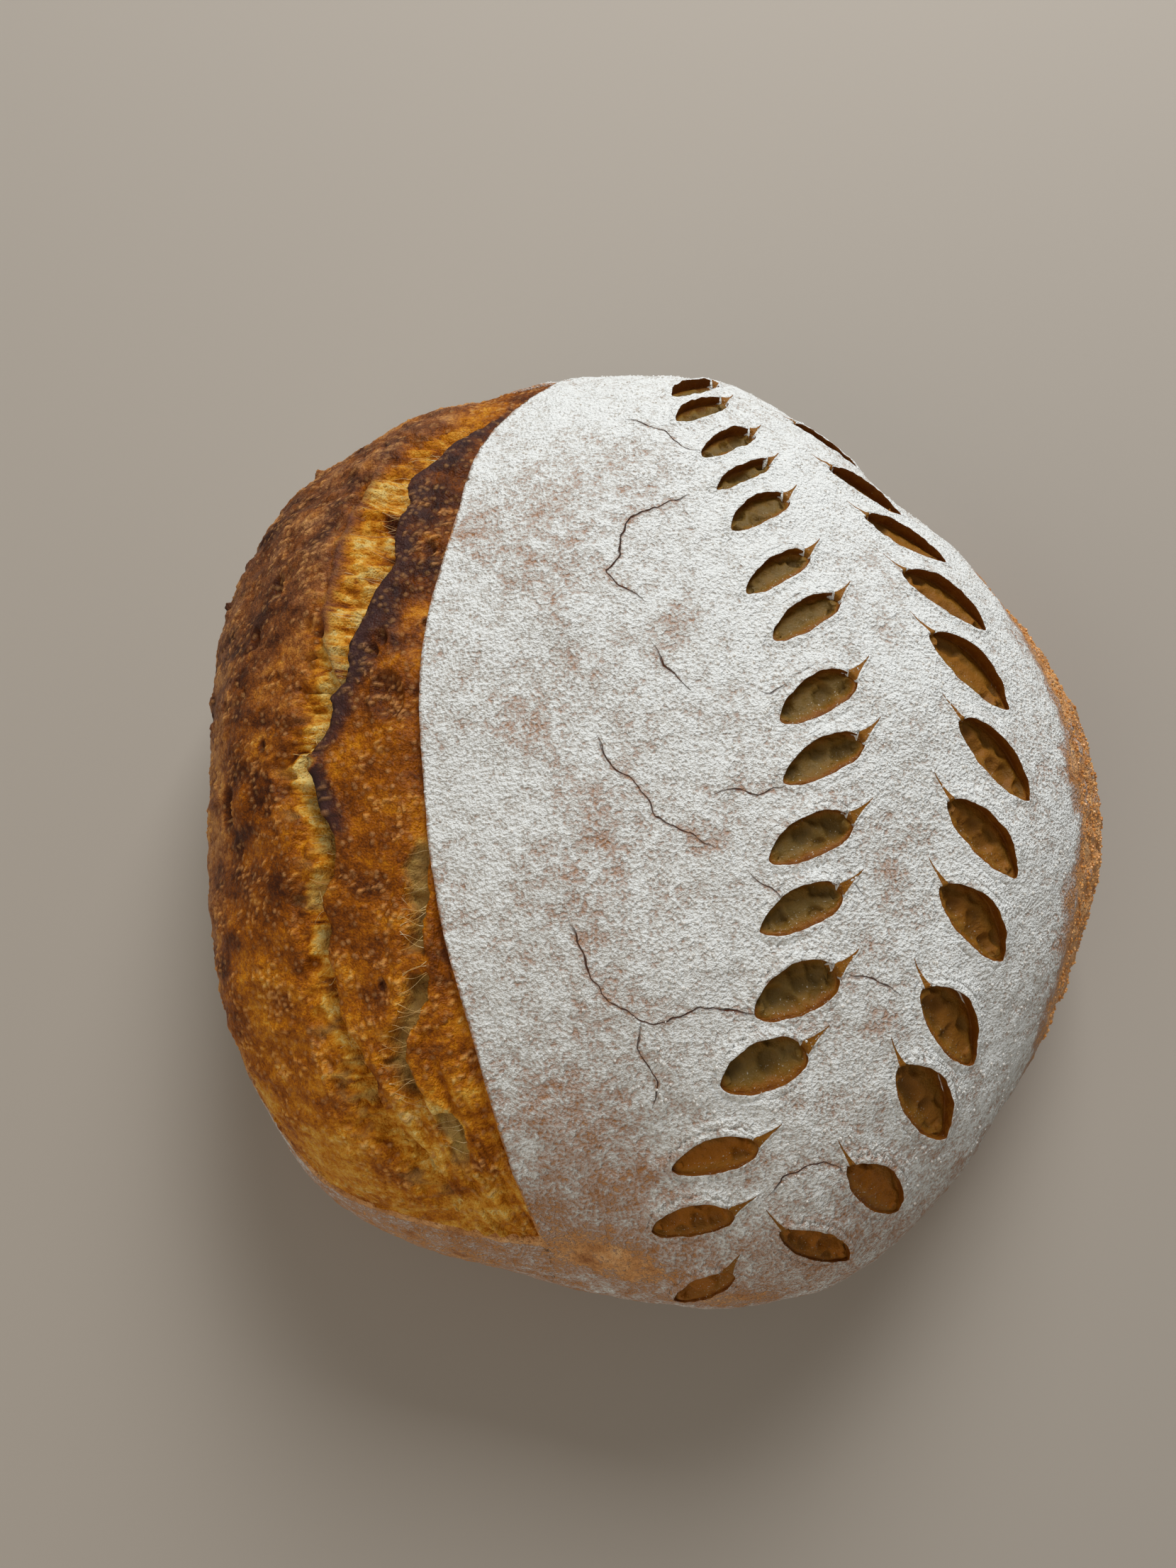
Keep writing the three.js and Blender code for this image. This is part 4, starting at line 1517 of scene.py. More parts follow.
@dataclass(frozen=True)
class FlouredCrustFinish:
    """Bread crust dusted with rice flour before baking: matt white grains, with the brown crust between them.

    The flour lies thick on the crown and thins to a pinkish dusting low down. It is gone from the rim, and
    cracks part it.
    """

    name: str = "rice_floured_crust"
    crust: Stops = ((0.3, "#a56a3a"), (0.5, "#dda062"), (0.7, "#f8c890"))
    dusting: Stops = (
        (0.0, "#ae825e"),
        (0.22, "#bb9b86"),
        (0.44, "#c6b5a9"),
        (0.66, "#d5d3cc"),
        (0.95, "#f4f6f3"),
    )
    crack: str = "#63341a"
    patch_size: float = 26.0
    mottle_size: float = 5.0
    clump_size: float = 1.8
    grain_size: float = 0.72
    crack_width: float = 0.23

    def make(self) -> Material:
        """Makes the material.

        Returns:
            The material.
        """
        material, shader = new_material(self.name, 0.95, 0.18)
        tree = material.node_tree
        place = add_node(tree, "ShaderNodeTexCoord", output="Object")
        sizes = {
            "patch": (self.patch_size, 3, 0.55),
            "mottle": (self.mottle_size, 4, 0.62),
            "clump": (self.clump_size, 2, 0.6),
            "grain": (self.grain_size, 2, 0.55),
        }
        noises = {
            key: add_node(
                tree,
                "ShaderNodeTexNoise",
                {"Vector": place, "Scale": per(size), "Detail": detail, "Roughness": rough},
            )
            for key, (size, detail, rough) in sizes.items()
        }
        cover = add_node(tree, "ShaderNodeAttribute", output="Fac", attribute_name="flour")
        weights = {"patch": 0.7, "mottle": 1.2, "clump": 1.0, "grain": 1.6}
        for key, weight in weights.items():
            cover = add_node(
                tree, "ShaderNodeMath", {0: noises[key], 1: weight, 2: cover}, operation="MULTIPLY_ADD"
            )
        cover = add_node(
            tree, "ShaderNodeMath", {0: cover, 1: sum(weights.values()) / 2}, operation="SUBTRACT"
        )
        looks = {
            key: add_node(tree, "ShaderNodeAttribute", output="Fac", attribute_name=key)
            for key in ("crack", "crack_open", "branch", "branch_open", "torn_edge")
        }
        lines = []
        for key in ("crack", "branch"):
            opened = looks[key + "_open"]
            off = add_node(tree, "ShaderNodeMath", {0: looks[key]}, operation="ABSOLUTE")
            ragged = add_node(
                tree, "ShaderNodeMath", {0: noises["clump"], 1: -0.5, 2: off}, operation="MULTIPLY_ADD"
            )
            line = add_node(
                tree,
                "ShaderNodeMapRange",
                {0: ragged, 1: -0.25, 2: self.crack_width - 0.25, 3: 1.0, 4: 0.0},
            )
            halo = add_node(tree, "ShaderNodeMapRange", {0: ragged, 1: -0.1, 2: 0.8, 3: 0.3, 4: 0.0})
            lines.append(add_node(tree, "ShaderNodeMath", {0: line, 1: opened}, operation="MULTIPLY"))
            halo = add_node(tree, "ShaderNodeMath", {0: halo, 1: opened}, operation="MULTIPLY")
            cover = add_node(tree, "ShaderNodeMath", {0: cover, 1: halo}, operation="SUBTRACT")
        line = add_node(tree, "ShaderNodeMath", {0: lines[0], 1: lines[1]}, operation="MAXIMUM")
        rim = add_node(tree, "ShaderNodeMapRange", {0: looks["torn_edge"], 1: -0.7, 2: 0.1, 3: 0.0, 4: 0.7})
        cover = add_node(tree, "ShaderNodeMath", {0: cover, 1: rim}, operation="SUBTRACT")
        dusted = add_node(tree, "ShaderNodeValToRGB", {"Fac": cover}, stops=self.dusting)
        bare = add_node(tree, "ShaderNodeValToRGB", {"Fac": noises["mottle"]}, stops=self.crust)
        share = add_node(tree, "ShaderNodeMapRange", {0: cover, 1: -0.25, 2: 0.08})
        colour = add_node(tree, "ShaderNodeMix", {0: share, 6: bare, 7: dusted}, **BLEND)
        colour = add_node(tree, "ShaderNodeMix", {0: line, 6: colour, 7: linear(self.crack)}, **BLEND)
        tree.links.new(colour, shader.inputs["Base Color"])
        relief = add_node(
            tree,
            "ShaderNodeMath",
            {0: noises["clump"], 1: 0.55, 2: noises["grain"]},
            operation="MULTIPLY_ADD",
        )
        relief = add_node(
            tree, "ShaderNodeMath", {0: noises["mottle"], 1: 0.8, 2: relief}, operation="MULTIPLY_ADD"
        )
        relief = add_node(tree, "ShaderNodeMath", {0: line, 1: -1.5, 2: relief}, operation="MULTIPLY_ADD")
        bump = add_node(tree, "ShaderNodeBump", {"Strength": 1.0, "Distance": 1.05 * MM, "Height": relief})
        tree.links.new(bump, shader.inputs["Normal"])
        rough = add_node(tree, "ShaderNodeMapRange", {0: cover, 1: 0.0, 2: 0.35, 3: 0.48, 4: 0.95})
        tree.links.new(rough, shader.inputs["Roughness"])
        return material


@dataclass(frozen=True)
class BurstFinish:
    """Crust that tore open and browned in the oven: satin brown, burnt purple lips and raw yellow fibres."""

    name: str = "torn_baked_crust"
    # Its darker stops also serve as painted shade in the pits, the fibre creases and the main crevice's
    # bottom.
    bake_and_shade: Stops = (
        (0.0, "#e6c97a"),
        (0.14, "#dca23a"),
        (0.3, "#c2780a"),
        (0.46, "#985200"),
        (0.6, "#743a00"),
        (0.76, "#4e2406"),
        (1.0, "#2c140b"),
    )
    burnt: str = "#503838"
    blister: str = "#cf985e"
    tan: Stops = ((0.3, "#b98a5c"), (0.52, "#7c5238"), (0.8, "#3f241a"))
    olive: str = "#95804c"
    mottle_size: float = 4.2
    speck_size: float = 1.5
    grain_size: float = 0.5
    spot_size: float = 1.9

    def make(self) -> Material:
        """Makes the material.

        Returns:
            The material.
        """
        material, shader = new_material(self.name, 0.5, 0.15)
        tree = material.node_tree
        place = add_node(tree, "ShaderNodeTexCoord", output="Object")
        sizes = {
            "mottle": (self.mottle_size, 6, 0.7),
            "speck": (self.speck_size, 3, 0.6),
            "grain": (self.grain_size, 1, 0.5),
        }
        noises = {
            key: add_node(
                tree,
                "ShaderNodeTexNoise",
                {"Vector": place, "Scale": per(size), "Detail": detail, "Roughness": rough},
            )
            for key, (size, detail, rough) in sizes.items()
        }
        looks = {
            key: add_node(tree, "ShaderNodeAttribute", output="Fac", attribute_name=key)
            for key in TornBurst.LOOKS
        }
        level = looks["bake_and_shade"]
        weights = {"mottle": 0.42, "speck": 0.48, "grain": 0.3}
        for key, weight in weights.items():
            level = add_node(
                tree, "ShaderNodeMath", {0: noises[key], 1: weight, 2: level}, operation="MULTIPLY_ADD"
            )
        level = add_node(
            tree, "ShaderNodeMath", {0: level, 1: sum(weights.values()) / 2}, operation="SUBTRACT"
        )
        colour = add_node(tree, "ShaderNodeValToRGB", {"Fac": level}, stops=self.bake_and_shade)
        dull = add_node(tree, "ShaderNodeMath", {0: looks["tan"], 1: 0.75}, operation="MULTIPLY")
        leather = add_node(tree, "ShaderNodeValToRGB", {"Fac": level}, stops=self.tan)
        colour = add_node(tree, "ShaderNodeMix", {0: dull, 6: colour, 7: leather}, **BLEND)
        spots = add_node(
            tree, "ShaderNodeTexVoronoi", {"Vector": place, "Scale": per(self.spot_size), "Randomness": 1.0}
        )
        spots = add_node(tree, "ShaderNodeMapRange", {0: spots, 1: 0.16, 2: 0.42, 3: 1.0, 4: 0.0})
        crowded = add_node(tree, "ShaderNodeMapRange", {0: noises["mottle"], 1: 0.4, 2: 0.62})
        spots = add_node(tree, "ShaderNodeMath", {0: spots, 1: crowded}, operation="MULTIPLY")
        spots = add_node(tree, "ShaderNodeMath", {0: spots, 1: looks["speck"]}, operation="MAXIMUM")
        whole = add_node(tree, "ShaderNodeMapRange", {0: looks["torn"], 1: 0.0, 2: 0.6, 3: 0.62, 4: 0.0})
        pale = add_node(tree, "ShaderNodeMath", {0: spots, 1: whole}, operation="MULTIPLY")
        colour = add_node(tree, "ShaderNodeMix", {0: pale, 6: colour, 7: linear(self.blister)}, **BLEND)
        rosy = add_node(tree, "ShaderNodeMath", {0: looks["rosy"], 1: 0.68}, operation="MULTIPLY")
        colour = add_node(tree, "ShaderNodeMix", {0: rosy, 6: colour, 7: linear(self.burnt)}, **BLEND)
        thin = add_node(tree, "ShaderNodeMath", {0: looks["olive"], 1: 0.8}, operation="MULTIPLY")
        colour = add_node(tree, "ShaderNodeMix", {0: thin, 6: colour, 7: linear(self.olive)}, **BLEND)
        tree.links.new(colour, shader.inputs["Base Color"])
        rough = add_node(tree, "ShaderNodeMapRange", {0: noises["mottle"], 1: 0.3, 2: 0.7, 3: 0.4, 4: 0.66})
        rough = add_node(
            tree, "ShaderNodeMath", {0: looks["torn"], 1: 0.2, 2: rough}, operation="MULTIPLY_ADD"
        )
        tree.links.new(rough, shader.inputs["Roughness"])
        relief = add_node(
            tree, "ShaderNodeMath", {0: noises["speck"], 1: 1.6, 2: noises["grain"]}, operation="MULTIPLY_ADD"
        )
        relief = add_node(tree, "ShaderNodeMath", {0: spots, 1: 0.9, 2: relief}, operation="MULTIPLY_ADD")
        bump = add_node(tree, "ShaderNodeBump", {"Strength": 0.8, "Distance": 0.45 * MM, "Height": relief})
        tree.links.new(bump, shader.inputs["Normal"])
        return material


@dataclass(frozen=True)
class CutFinish:
    """Crumb baked inside a leaf cut: caramel near the skin's edge, darker on the wall under it as painted
    shade of the overhanging lip, and an olive-brown floor with bubbles.
    """

    name: str = "baked_leaf_cut"
    # The lowest stop, on the wall under the skin's edge, is painted shade of the overhanging lip; the caramel
    # ring and the olive-brown floor follow.
    depth: Stops = ((0.0, "#74400a"), (0.2, "#8a5615"), (0.5, "#7e5d21"), (1.0, "#705d31"))
    golden: str = "#9c5e12"
    cell: str = "#46340f"
    dust: str = "#cfc6b4"
    mottle_size: float = 2.6
    grain_size: float = 0.5

    def make(self) -> Material:
        """Makes the material.

        Returns:
            The material.
        """
        material, shader = new_material(self.name, 0.45, 0.16)
        tree = material.node_tree
        place = add_node(tree, "ShaderNodeTexCoord", output="Object")
        mottle, grain = (
            add_node(
                tree,
                "ShaderNodeTexNoise",
                {"Vector": place, "Scale": per(size), "Detail": 3, "Roughness": 0.6},
            )
            for size in (self.mottle_size, self.grain_size)
        )
        inward, cells, upper, gold = (
            add_node(tree, "ShaderNodeAttribute", output="Fac", attribute_name=key)
            for key in ("inward", "cells", "upper", "gold")
        )
        level = add_node(tree, "ShaderNodeMath", {0: mottle, 1: 0.7, 2: inward}, operation="MULTIPLY_ADD")
        level = add_node(tree, "ShaderNodeMath", {0: level, 1: 0.35}, operation="SUBTRACT")
        colour = add_node(tree, "ShaderNodeValToRGB", {"Fac": level}, stops=self.depth)
        gold = add_node(tree, "ShaderNodeMath", {0: gold, 1: inward}, operation="MULTIPLY")
        colour = add_node(tree, "ShaderNodeMix", {0: gold, 6: colour, 7: linear(self.golden)}, **BLEND)
        dark = add_node(tree, "ShaderNodeMath", {0: cells, 1: 0.55}, operation="MULTIPLY")
        colour = add_node(tree, "ShaderNodeMix", {0: dark, 6: colour, 7: linear(self.cell)}, **BLEND)
        below = add_node(tree, "ShaderNodeMapRange", {0: upper, 1: 0.2, 2: -1.0, 3: 0.0, 4: 0.07})
        speck = add_node(tree, "ShaderNodeMath", {0: grain, 1: below}, operation="ADD")
        speck = add_node(tree, "ShaderNodeMapRange", {0: speck, 1: 0.7, 2: 0.78})
        colour = add_node(tree, "ShaderNodeMix", {0: speck, 6: colour, 7: linear(self.dust)}, **BLEND)
        tree.links.new(colour, shader.inputs["Base Color"])
        relief = add_node(tree, "ShaderNodeMath", {0: mottle, 1: 1.5, 2: grain}, operation="MULTIPLY_ADD")
        bump = add_node(tree, "ShaderNodeBump", {"Strength": 0.7, "Distance": 0.4 * MM, "Height": relief})
        tree.links.new(bump, shader.inputs["Normal"])
        return material


@dataclass(frozen=True)
class FineFinish:
    """A finish for bits too small to show more than a mottled colour and a fine relief.

    Attributes:
        name: The material's name.
        roughness: How rough it is, from 0 to 1.
        specular: How strongly it reflects, where 0.5 is usual.
        stops: Its colours from the pattern's dark parts to its light ones.
        mottle_size: The pattern's size in millimetres.
        detail: How many finer layers the pattern has.
        relief: The relief's strength, from 0 to 1.
        relief_height: The relief's height in millimetres.
    """

    name: str
    roughness: float
    specular: float
    stops: Stops
    mottle_size: float
    detail: float
    relief: float
    relief_height: float

    def make(self) -> Material:
        """Makes the material.

        Returns:
            The material.
        """
        material, shader = new_material(self.name, self.roughness, self.specular)
        tree = material.node_tree
        place = add_node(tree, "ShaderNodeTexCoord", output="Object")
        links = {"Vector": place, "Scale": per(self.mottle_size), "Detail": self.detail}
        mottle = add_node(tree, "ShaderNodeTexNoise", links)
        colour = add_node(tree, "ShaderNodeValToRGB", {"Fac": mottle}, stops=self.stops)
        tree.links.new(colour, shader.inputs["Base Color"])
        links = {"Strength": self.relief, "Distance": self.relief_height * MM, "Height": mottle}
        tree.links.new(add_node(tree, "ShaderNodeBump", links), shader.inputs["Normal"])
        return material


# Rice flour stuck together in little lumps: pure matt white.
CLUMPED_FLOUR = FineFinish(
    name="clumped_rice_flour",
    roughness=1.0,
    specular=0.1,
    stops=((0.35, "#cfc8be"), (0.6, "#f2f2ee")),
    mottle_size=0.4,
    detail=2,
    relief=0.6,
    relief_height=0.1,
)

# Bubbly golden crust at the rim, where the dough spread over the edge of its basket: glossy, with pale tips.
RIM_CRUMB = FineFinish(
    name="bubbled_golden_crust",
    roughness=0.35,
    specular=0.5,
    stops=((0.3, "#b06a28"), (0.5, "#da9648"), (0.7, "#f0c080")),
    mottle_size=2.4,
    detail=3,
    relief=0.5,
    relief_height=0.2,
)

# Baked gluten threads: straw yellow where they are thin, browner where they are thick.
GLUTEN = FineFinish(
    name="baked_gluten",
    roughness=0.45,
    specular=0.5,
    stops=((0.32, "#b98440"), (0.5, "#d9b470"), (0.68, "#eedcb0")),
    mottle_size=3.0,
    detail=3,
    relief=0.4,
    relief_height=0.1,
)


def finish_piece(piece: Object, *materials: Material) -> None:
    """Gives a piece its materials and its place in the frame.

    Args:
        piece: The piece.
        materials: Its materials, in the order of their numbers.
    """
    for material in materials:
        piece.data.materials.append(material)
    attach(piece, BODY)
    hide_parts(NODE)
    LOG.info("%s: %d triangles", piece.name, len(piece.data.polygons))


def result_of(carrier: Object, tree: NodeTree, inputs: dict[str, object], name: str) -> Object:
    """Runs a Geometry Nodes tree and keeps its result as a plain mesh.

    Args:
        carrier: The object that the tree starts from. It is deleted.
        tree: The tree.
        inputs: What each named input of the tree gets.
        name: The new piece's name.

    Returns:
        The new piece.
    """
    modifier = carrier.modifiers.new(name, "NODES")
    modifier.node_group = tree
    for item in tree.interface.items_tree:
        if item.item_type == "SOCKET" and item.in_out == "INPUT" and item.name in inputs:
            modifier[item.identifier] = inputs[item.name]
    graph = bpy.context.evaluated_depsgraph_get()
    mesh = bpy.data.meshes.new_from_object(carrier.evaluated_get(graph), depsgraph=graph)
    mesh.name = name
    piece = bpy.data.objects.new(name, mesh)
    bpy.context.scene.collection.objects.link(piece)
    carrier.modifiers.remove(modifier)
    bpy.data.objects.remove(carrier)
    return piece


def new_tree(name: str, inputs: dict[str, str]) -> tuple[NodeTree, Node]:
    """Makes a Geometry Nodes tree with a geometry input and output, and gives it and its input node.

    Args:
        name: The tree's name.
        inputs: The kind of socket of each further input, by its name.

    Returns:
        The tree and its group input node.
    """
    tree = bpy.data.node_groups.new(name, "GeometryNodeTree")
    tree.interface.new_socket("Geometry", in_out="INPUT", socket_type="NodeSocketGeometry")
    tree.interface.new_socket("Geometry", in_out="OUTPUT", socket_type="NodeSocketGeometry")
    for key, kind in inputs.items():
        tree.interface.new_socket(key, in_out="INPUT", socket_type=kind)
    return tree, tree.nodes.new("NodeGroupInput")


@dataclass
class Grains:
    """Small lumps spread over a surface: clumped flour, and crumbs on the rim.

    Attributes:
        name: The piece's name.
        mask: The attribute that says where they lie.
        density: How many lie on a square centimetre where the mask is 1.
        smallest: The smallest lump's radius in millimetres.
        largest: The largest lump's radius.
        seed: Picks their places.
    """

    name: str
    mask: str
    density: float
    smallest: float
    largest: float
    seed: int

    def tree(self) -> NodeTree:
        """Builds the Geometry Nodes tree.

        Returns:
            The tree.
        """
        tree, given = new_tree(
            self.name,
            {
                "Density": "NodeSocketFloat",
                "Smallest": "NodeSocketFloat",
                "Largest": "NodeSocketFloat",
                "Seed": "NodeSocketInt",
                "Material": "NodeSocketMaterial",
            },
        )
        mask = add_node(tree, "GeometryNodeInputNamedAttribute", {"Name": self.mask}, data_type="FLOAT")
        density = add_node(
            tree, "ShaderNodeMath", {0: mask, 1: given.outputs["Density"]}, operation="MULTIPLY"
        )
        points = add_node(
            tree,
            "GeometryNodeDistributePointsOnFaces",
            {"Mesh": given.outputs["Geometry"], "Density": density, "Seed": given.outputs["Seed"]},
        )
        lump = add_node(tree, "GeometryNodeMeshIcoSphere", {"Radius": 1.0, "Subdivisions": 1})
        size = add_node(
            tree,
            "FunctionNodeRandomValue",
            {2: given.outputs["Smallest"], 3: given.outputs["Largest"], "Seed": given.outputs["Seed"]},
            output=1,
            data_type="FLOAT",
        )
        turn = add_node(tree, "FunctionNodeRandomValue", {1: (6.28, 6.28, 6.28)}, data_type="FLOAT_VECTOR")
        lumps = add_node(
            tree,
            "GeometryNodeInstanceOnPoints",
            {"Points": points, "Instance": lump, "Rotation": turn, "Scale": size},
        )
        real = add_node(tree, "GeometryNodeRealizeInstances", {"Geometry": lumps})
        finished = add_node(
            tree, "GeometryNodeSetMaterial", {"Geometry": real, "Material": given.outputs["Material"]}
        )
        tree.links.new(finished, tree.nodes.new("NodeGroupOutput").inputs[0])
        return tree

    def build(self, surface: Object, material: Material) -> Object:
        """Spreads the lumps over a surface.

        Args:
            surface: The piece that they lie on.
            material: Their material.

        Returns:
            The piece.
        """
        carrier = bpy.data.objects.new(self.name + "_carrier", surface.data.copy())
        bpy.context.scene.collection.objects.link(carrier)
        inputs = {
            "Density": self.density * PER_SQUARE_METRE,
            "Smallest": self.smallest * MM,
            "Largest": self.largest * MM,
            "Seed": self.seed,
            "Material": material,
        }
        return result_of(carrier, self.tree(), inputs, self.name)


@dataclass
class Strands:
    """Gluten strands that still bridge the burst's crevices, as thin tapering threads.

    Attributes:
        side_count: How many cross the side crevice.
        main_count: How many cross the torn slope of the main one.
        thick: A strand's radius at its ends in millimetres.
        knots: Points along a strand.
        sides: Its sides, all round.
    """

    burst: TornBurst
    side_count: int = 44
    main_count: int = 120
    thick: float = 0.085
    knots: int = 8
    sides: int = 6

    def lines(self) -> Pair:
        """Lays the strands across the crevices.

        Returns:
            Their places on the crust and their heights, one strand a row.
        """
        count = self.side_count + self.main_count
        index = np.stack([np.arange(count), np.zeros(count)], 1)
        first, second, third, fourth = (scattered(index, seed) for seed in (61, 62, 63, 64))
        over_side = np.arange(count) < self.side_count
        y = np.where(over_side, -82 + 64 * first, -60 + 150 * first)
        split = np.where(over_side, self.burst.side_split(y), self.burst.main_split(y))
        start = np.where(over_side, split - 4.2, split - self.burst.torn_width(y) * (0.5 + 0.5 * second))
        end = np.where(over_side, split + 2.2, split - 0.3 - 2.0 * third)
        t = np.linspace(0, 1, self.knots)[None]
        x = start[:, None] + (end - start)[:, None] * t
        y = y[:, None] + (8.0 * (fourth - 0.5))[:, None] * t + 0.45 * np.sin(t * 5 + 9 * second[:, None])
        looks = self.burst.surface(x.ravel(), y.ravel())["height"].reshape(x.shape)
        ends = looks[:, :1] * (1 - t) + looks[:, -1:] * t
        sag = np.where(over_side, 0.45, 0.2)[:, None] * 4 * t * (1 - t)
        lifted = np.maximum(ends - sag, looks - 0.12)
        lifted[:, 0] -= 0.5
        lifted[:, -1] -= 0.5
        return np.stack([x, y], -1), lifted

    def tree(self) -> NodeTree:
        """Builds the Geometry Nodes tree that gives the lines their thickness.

        Returns:
            The tree.
        """
        inputs = {"Radius": "NodeSocketFloat", "Sides": "NodeSocketInt", "Material": "NodeSocketMaterial"}
        tree, given = new_tree("gluten_strands", inputs)
        curves = add_node(tree, "GeometryNodeMeshToCurve", {"Mesh": given.outputs["Geometry"]})
        thick = add_node(tree, "GeometryNodeInputNamedAttribute", {"Name": "thick"}, data_type="FLOAT")
        thick = add_node(tree, "ShaderNodeMath", {0: thick, 1: given.outputs["Radius"]}, operation="MULTIPLY")
        curves = add_node(tree, "GeometryNodeSetCurveRadius", {"Curve": curves, "Radius": thick})
        ring = add_node(
            tree, "GeometryNodeCurvePrimitiveCircle", {"Resolution": given.outputs["Sides"], "Radius": 1.0}
        )
        links = {"Curve": curves, "Profile Curve": ring, "Scale": thick, "Fill Caps": True}
        tubes = add_node(tree, "GeometryNodeCurveToMesh", links)
        real = add_node(tree, "GeometryNodeRealizeInstances", {"Geometry": tubes})
        finished = add_node(
            tree, "GeometryNodeSetMaterial", {"Geometry": real, "Material": given.outputs["Material"]}
        )
        tree.links.new(finished, tree.nodes.new("NodeGroupOutput").inputs[0])
        return tree

    def build(self, material: Material) -> Object:
        """Builds the strands.

        Args:
            material: Their material.

        Returns:
            The piece.
        """
        places, heights = self.lines()
        flat = places.reshape(-1, 2)
        points = (self.burst.dome.crust(flat[:, 0], flat[:, 1], heights.ravel()) - CENTRE) * MM
        numbers = np.arange(len(points)).reshape(heights.shape)
        edges = np.stack([numbers[:, :-1], numbers[:, 1:]], -1).reshape(-1, 2)
        mesh = bpy.data.meshes.new("strand_lines")
        mesh.from_pydata(points.tolist(), edges.tolist(), [])
        t = np.linspace(0, 1, self.knots)
        own = 0.4 + 0.8 * scattered(np.stack([np.arange(len(heights)), np.ones(len(heights))], 1), 65)
        thick = own[:, None] * (0.45 + 0.55 * (2 * t - 1) ** 2)[None]
        radii = mesh.attributes.new("thick", "FLOAT", "POINT")
        radii.data.foreach_set("value", thick.ravel().astype(np.float32))
        carrier = bpy.data.objects.new("strand_lines", mesh)
        bpy.context.scene.collection.objects.link(carrier)
        inputs = {"Radius": self.thick * MM, "Sides": self.sides, "Material": material}
        return result_of(carrier, self.tree(), inputs, "gluten_strands")


@dataclass(frozen=True)
class Lamp:
    """A square soft lamp that faces a point.

    Attributes:
        name: The lamp's name.
        place: Where it hangs, in metres.
        target: The point that it faces.
        size: Its width in metres.
        power: Its power in watts.
        colour: Its colour.
    """

    name: str
    place: Triple
    target: Triple
    size: float
    power: float
    colour: str

    def hang(self) -> None:
        """Hangs the lamp."""
        data = bpy.data.lights.new(self.name, "AREA")
        data.shape = "SQUARE"
        data.size = self.size
        data.energy = self.power
        data.color = linear(self.colour)[:3]
        lamp = bpy.data.objects.new(self.name, data)
        away = Vector(self.place) - Vector(self.target)
        lamp.matrix_world = Matrix.Translation(self.place) @ away.to_track_quat("Z", "Y").to_matrix().to_4x4()
        bpy.context.scene.collection.objects.link(lamp)


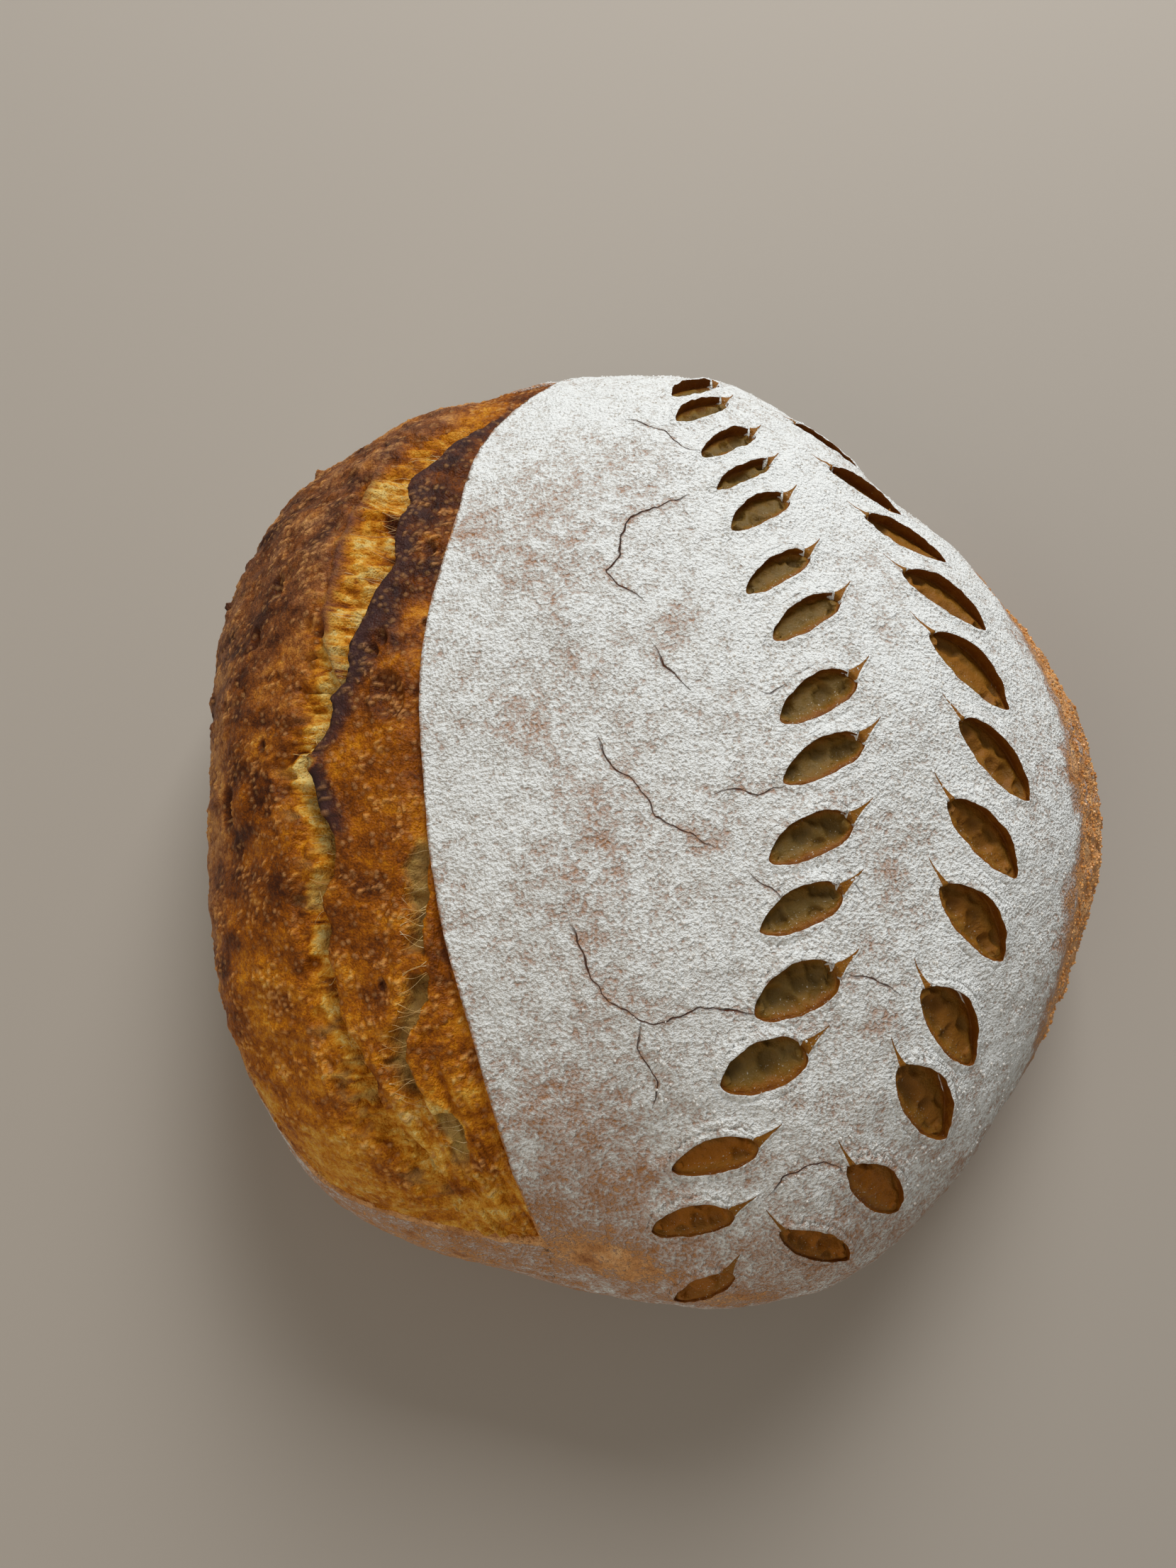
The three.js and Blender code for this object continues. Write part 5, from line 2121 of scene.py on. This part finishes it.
@dataclass
class Studio:
    """The floor, the lights and the camera.

    Attributes:
        camera_place: Where the camera stands, in millimetres.
        forward: The way it looks.
        up: The way the top of the picture points.
        focal: Its focal length in millimetres.
        floor_size: The floor's width in metres.
        floor_colour: The floor's colour.
        floor_roughness: How rough the floor is, from 0 to 1.
        sky: The colour of the light from all round.
        sky_strength: How strong that light is.
        lamps: The lamps.
    """

    camera_place: Triple = (-20.81, -56.08, 330.02)
    forward: Triple = (0.0096, 0.2080, -0.9781)
    up: Triple = (-0.0031, 0.9781, 0.2080)
    focal: float = 26.04
    floor_size: float = 3.0
    floor_colour: str = "#aea69b"
    floor_roughness: float = 0.9
    sky: str = "#d6d3ce"
    sky_strength: float = 0.32
    lamps: tuple[Lamp, ...] = (
        Lamp("key", (0.2, 0.96, 0.84), (0, 0, 0.06), size=0.6, power=14.4, colour="#f8f9fb"),
        Lamp("fill", (-0.65, -0.7, 0.7), (0, 0, 0.05), size=0.9, power=3.3, colour="#fff1e0"),
    )

    def camera(self) -> None:
        """Places the camera where the photograph was taken."""
        data = bpy.data.cameras.new("camera")
        data.lens = self.focal
        data.sensor_width = 36.0
        data.sensor_fit = "AUTO"
        data.clip_start = 0.01
        camera = bpy.data.objects.new("camera", data)
        back = -Vector(self.forward).normalized()
        right = Vector(self.up).cross(back).normalized()
        upward = back.cross(right)
        turned = Matrix((right, upward, back)).transposed()
        camera.matrix_world = Matrix.Translation(Vector(self.camera_place) * MM) @ turned.to_4x4()
        bpy.context.scene.collection.objects.link(camera)
        bpy.context.scene.camera = camera

    def floor(self) -> None:
        """Lays the pale floor."""
        mesh = bpy.data.meshes.new("floor")
        h = self.floor_size / 2
        mesh.from_pydata([(-h, -h, 0), (h, -h, 0), (h, h, 0), (-h, h, 0)], [], [(0, 1, 2, 3)])
        floor = bpy.data.objects.new("floor", mesh)
        bpy.context.scene.collection.objects.link(floor)
        material = bpy.data.materials.new("matte_paper")
        material.use_nodes = True
        shader = material.node_tree.nodes["Principled BSDF"]
        shader.inputs["Base Color"].default_value = linear(self.floor_colour)
        shader.inputs["Roughness"].default_value = self.floor_roughness
        mesh.materials.append(material)

    def build(self) -> None:
        """Sets up everything round the loaf."""
        self.camera()
        self.floor()
        for lamp in self.lamps:
            lamp.hang()
        world = bpy.data.worlds.new("studio")
        world.use_nodes = True
        background = world.node_tree.nodes["Background"]
        background.inputs["Color"].default_value = linear(self.sky)
        background.inputs["Strength"].default_value = self.sky_strength
        bpy.context.scene.world = world
        bpy.context.scene.view_settings.view_transform = "Standard"


def main() -> None:
    """Builds the loaf and its studio."""
    logging.basicConfig(level=logging.INFO, format="%(name)s: %(message)s")
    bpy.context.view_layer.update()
    dome = Dome()
    ear = WheatEar()
    crust = FlouredCrust(dome, ear)
    flour, cut, baked = FlouredCrustFinish().make(), CutFinish().make(), BurstFinish().make()
    body = crust.build()
    finish_piece(body, flour)
    burst = TornBurst(dome)
    finish_piece(burst.build(), baked)
    cuts, nicks = LeafCuts(crust).build()
    finish_piece(cuts, flour, cut)
    finish_piece(nicks, flour, cut)
    finish_piece(Strands(burst).build(GLUTEN.make()))
    clumps = Grains("flour_clumps", "clumped", density=26.0, smallest=0.1, largest=0.42, seed=3)
    finish_piece(clumps.build(body, CLUMPED_FLOUR.make()))
    crumbs = Grains("rim_crumbs", "crumbed", density=34.0, smallest=0.15, largest=0.55, seed=4)
    finish_piece(crumbs.build(body, RIM_CRUMB.make()))
    Studio().build()


if __name__ == "__main__":
    main()
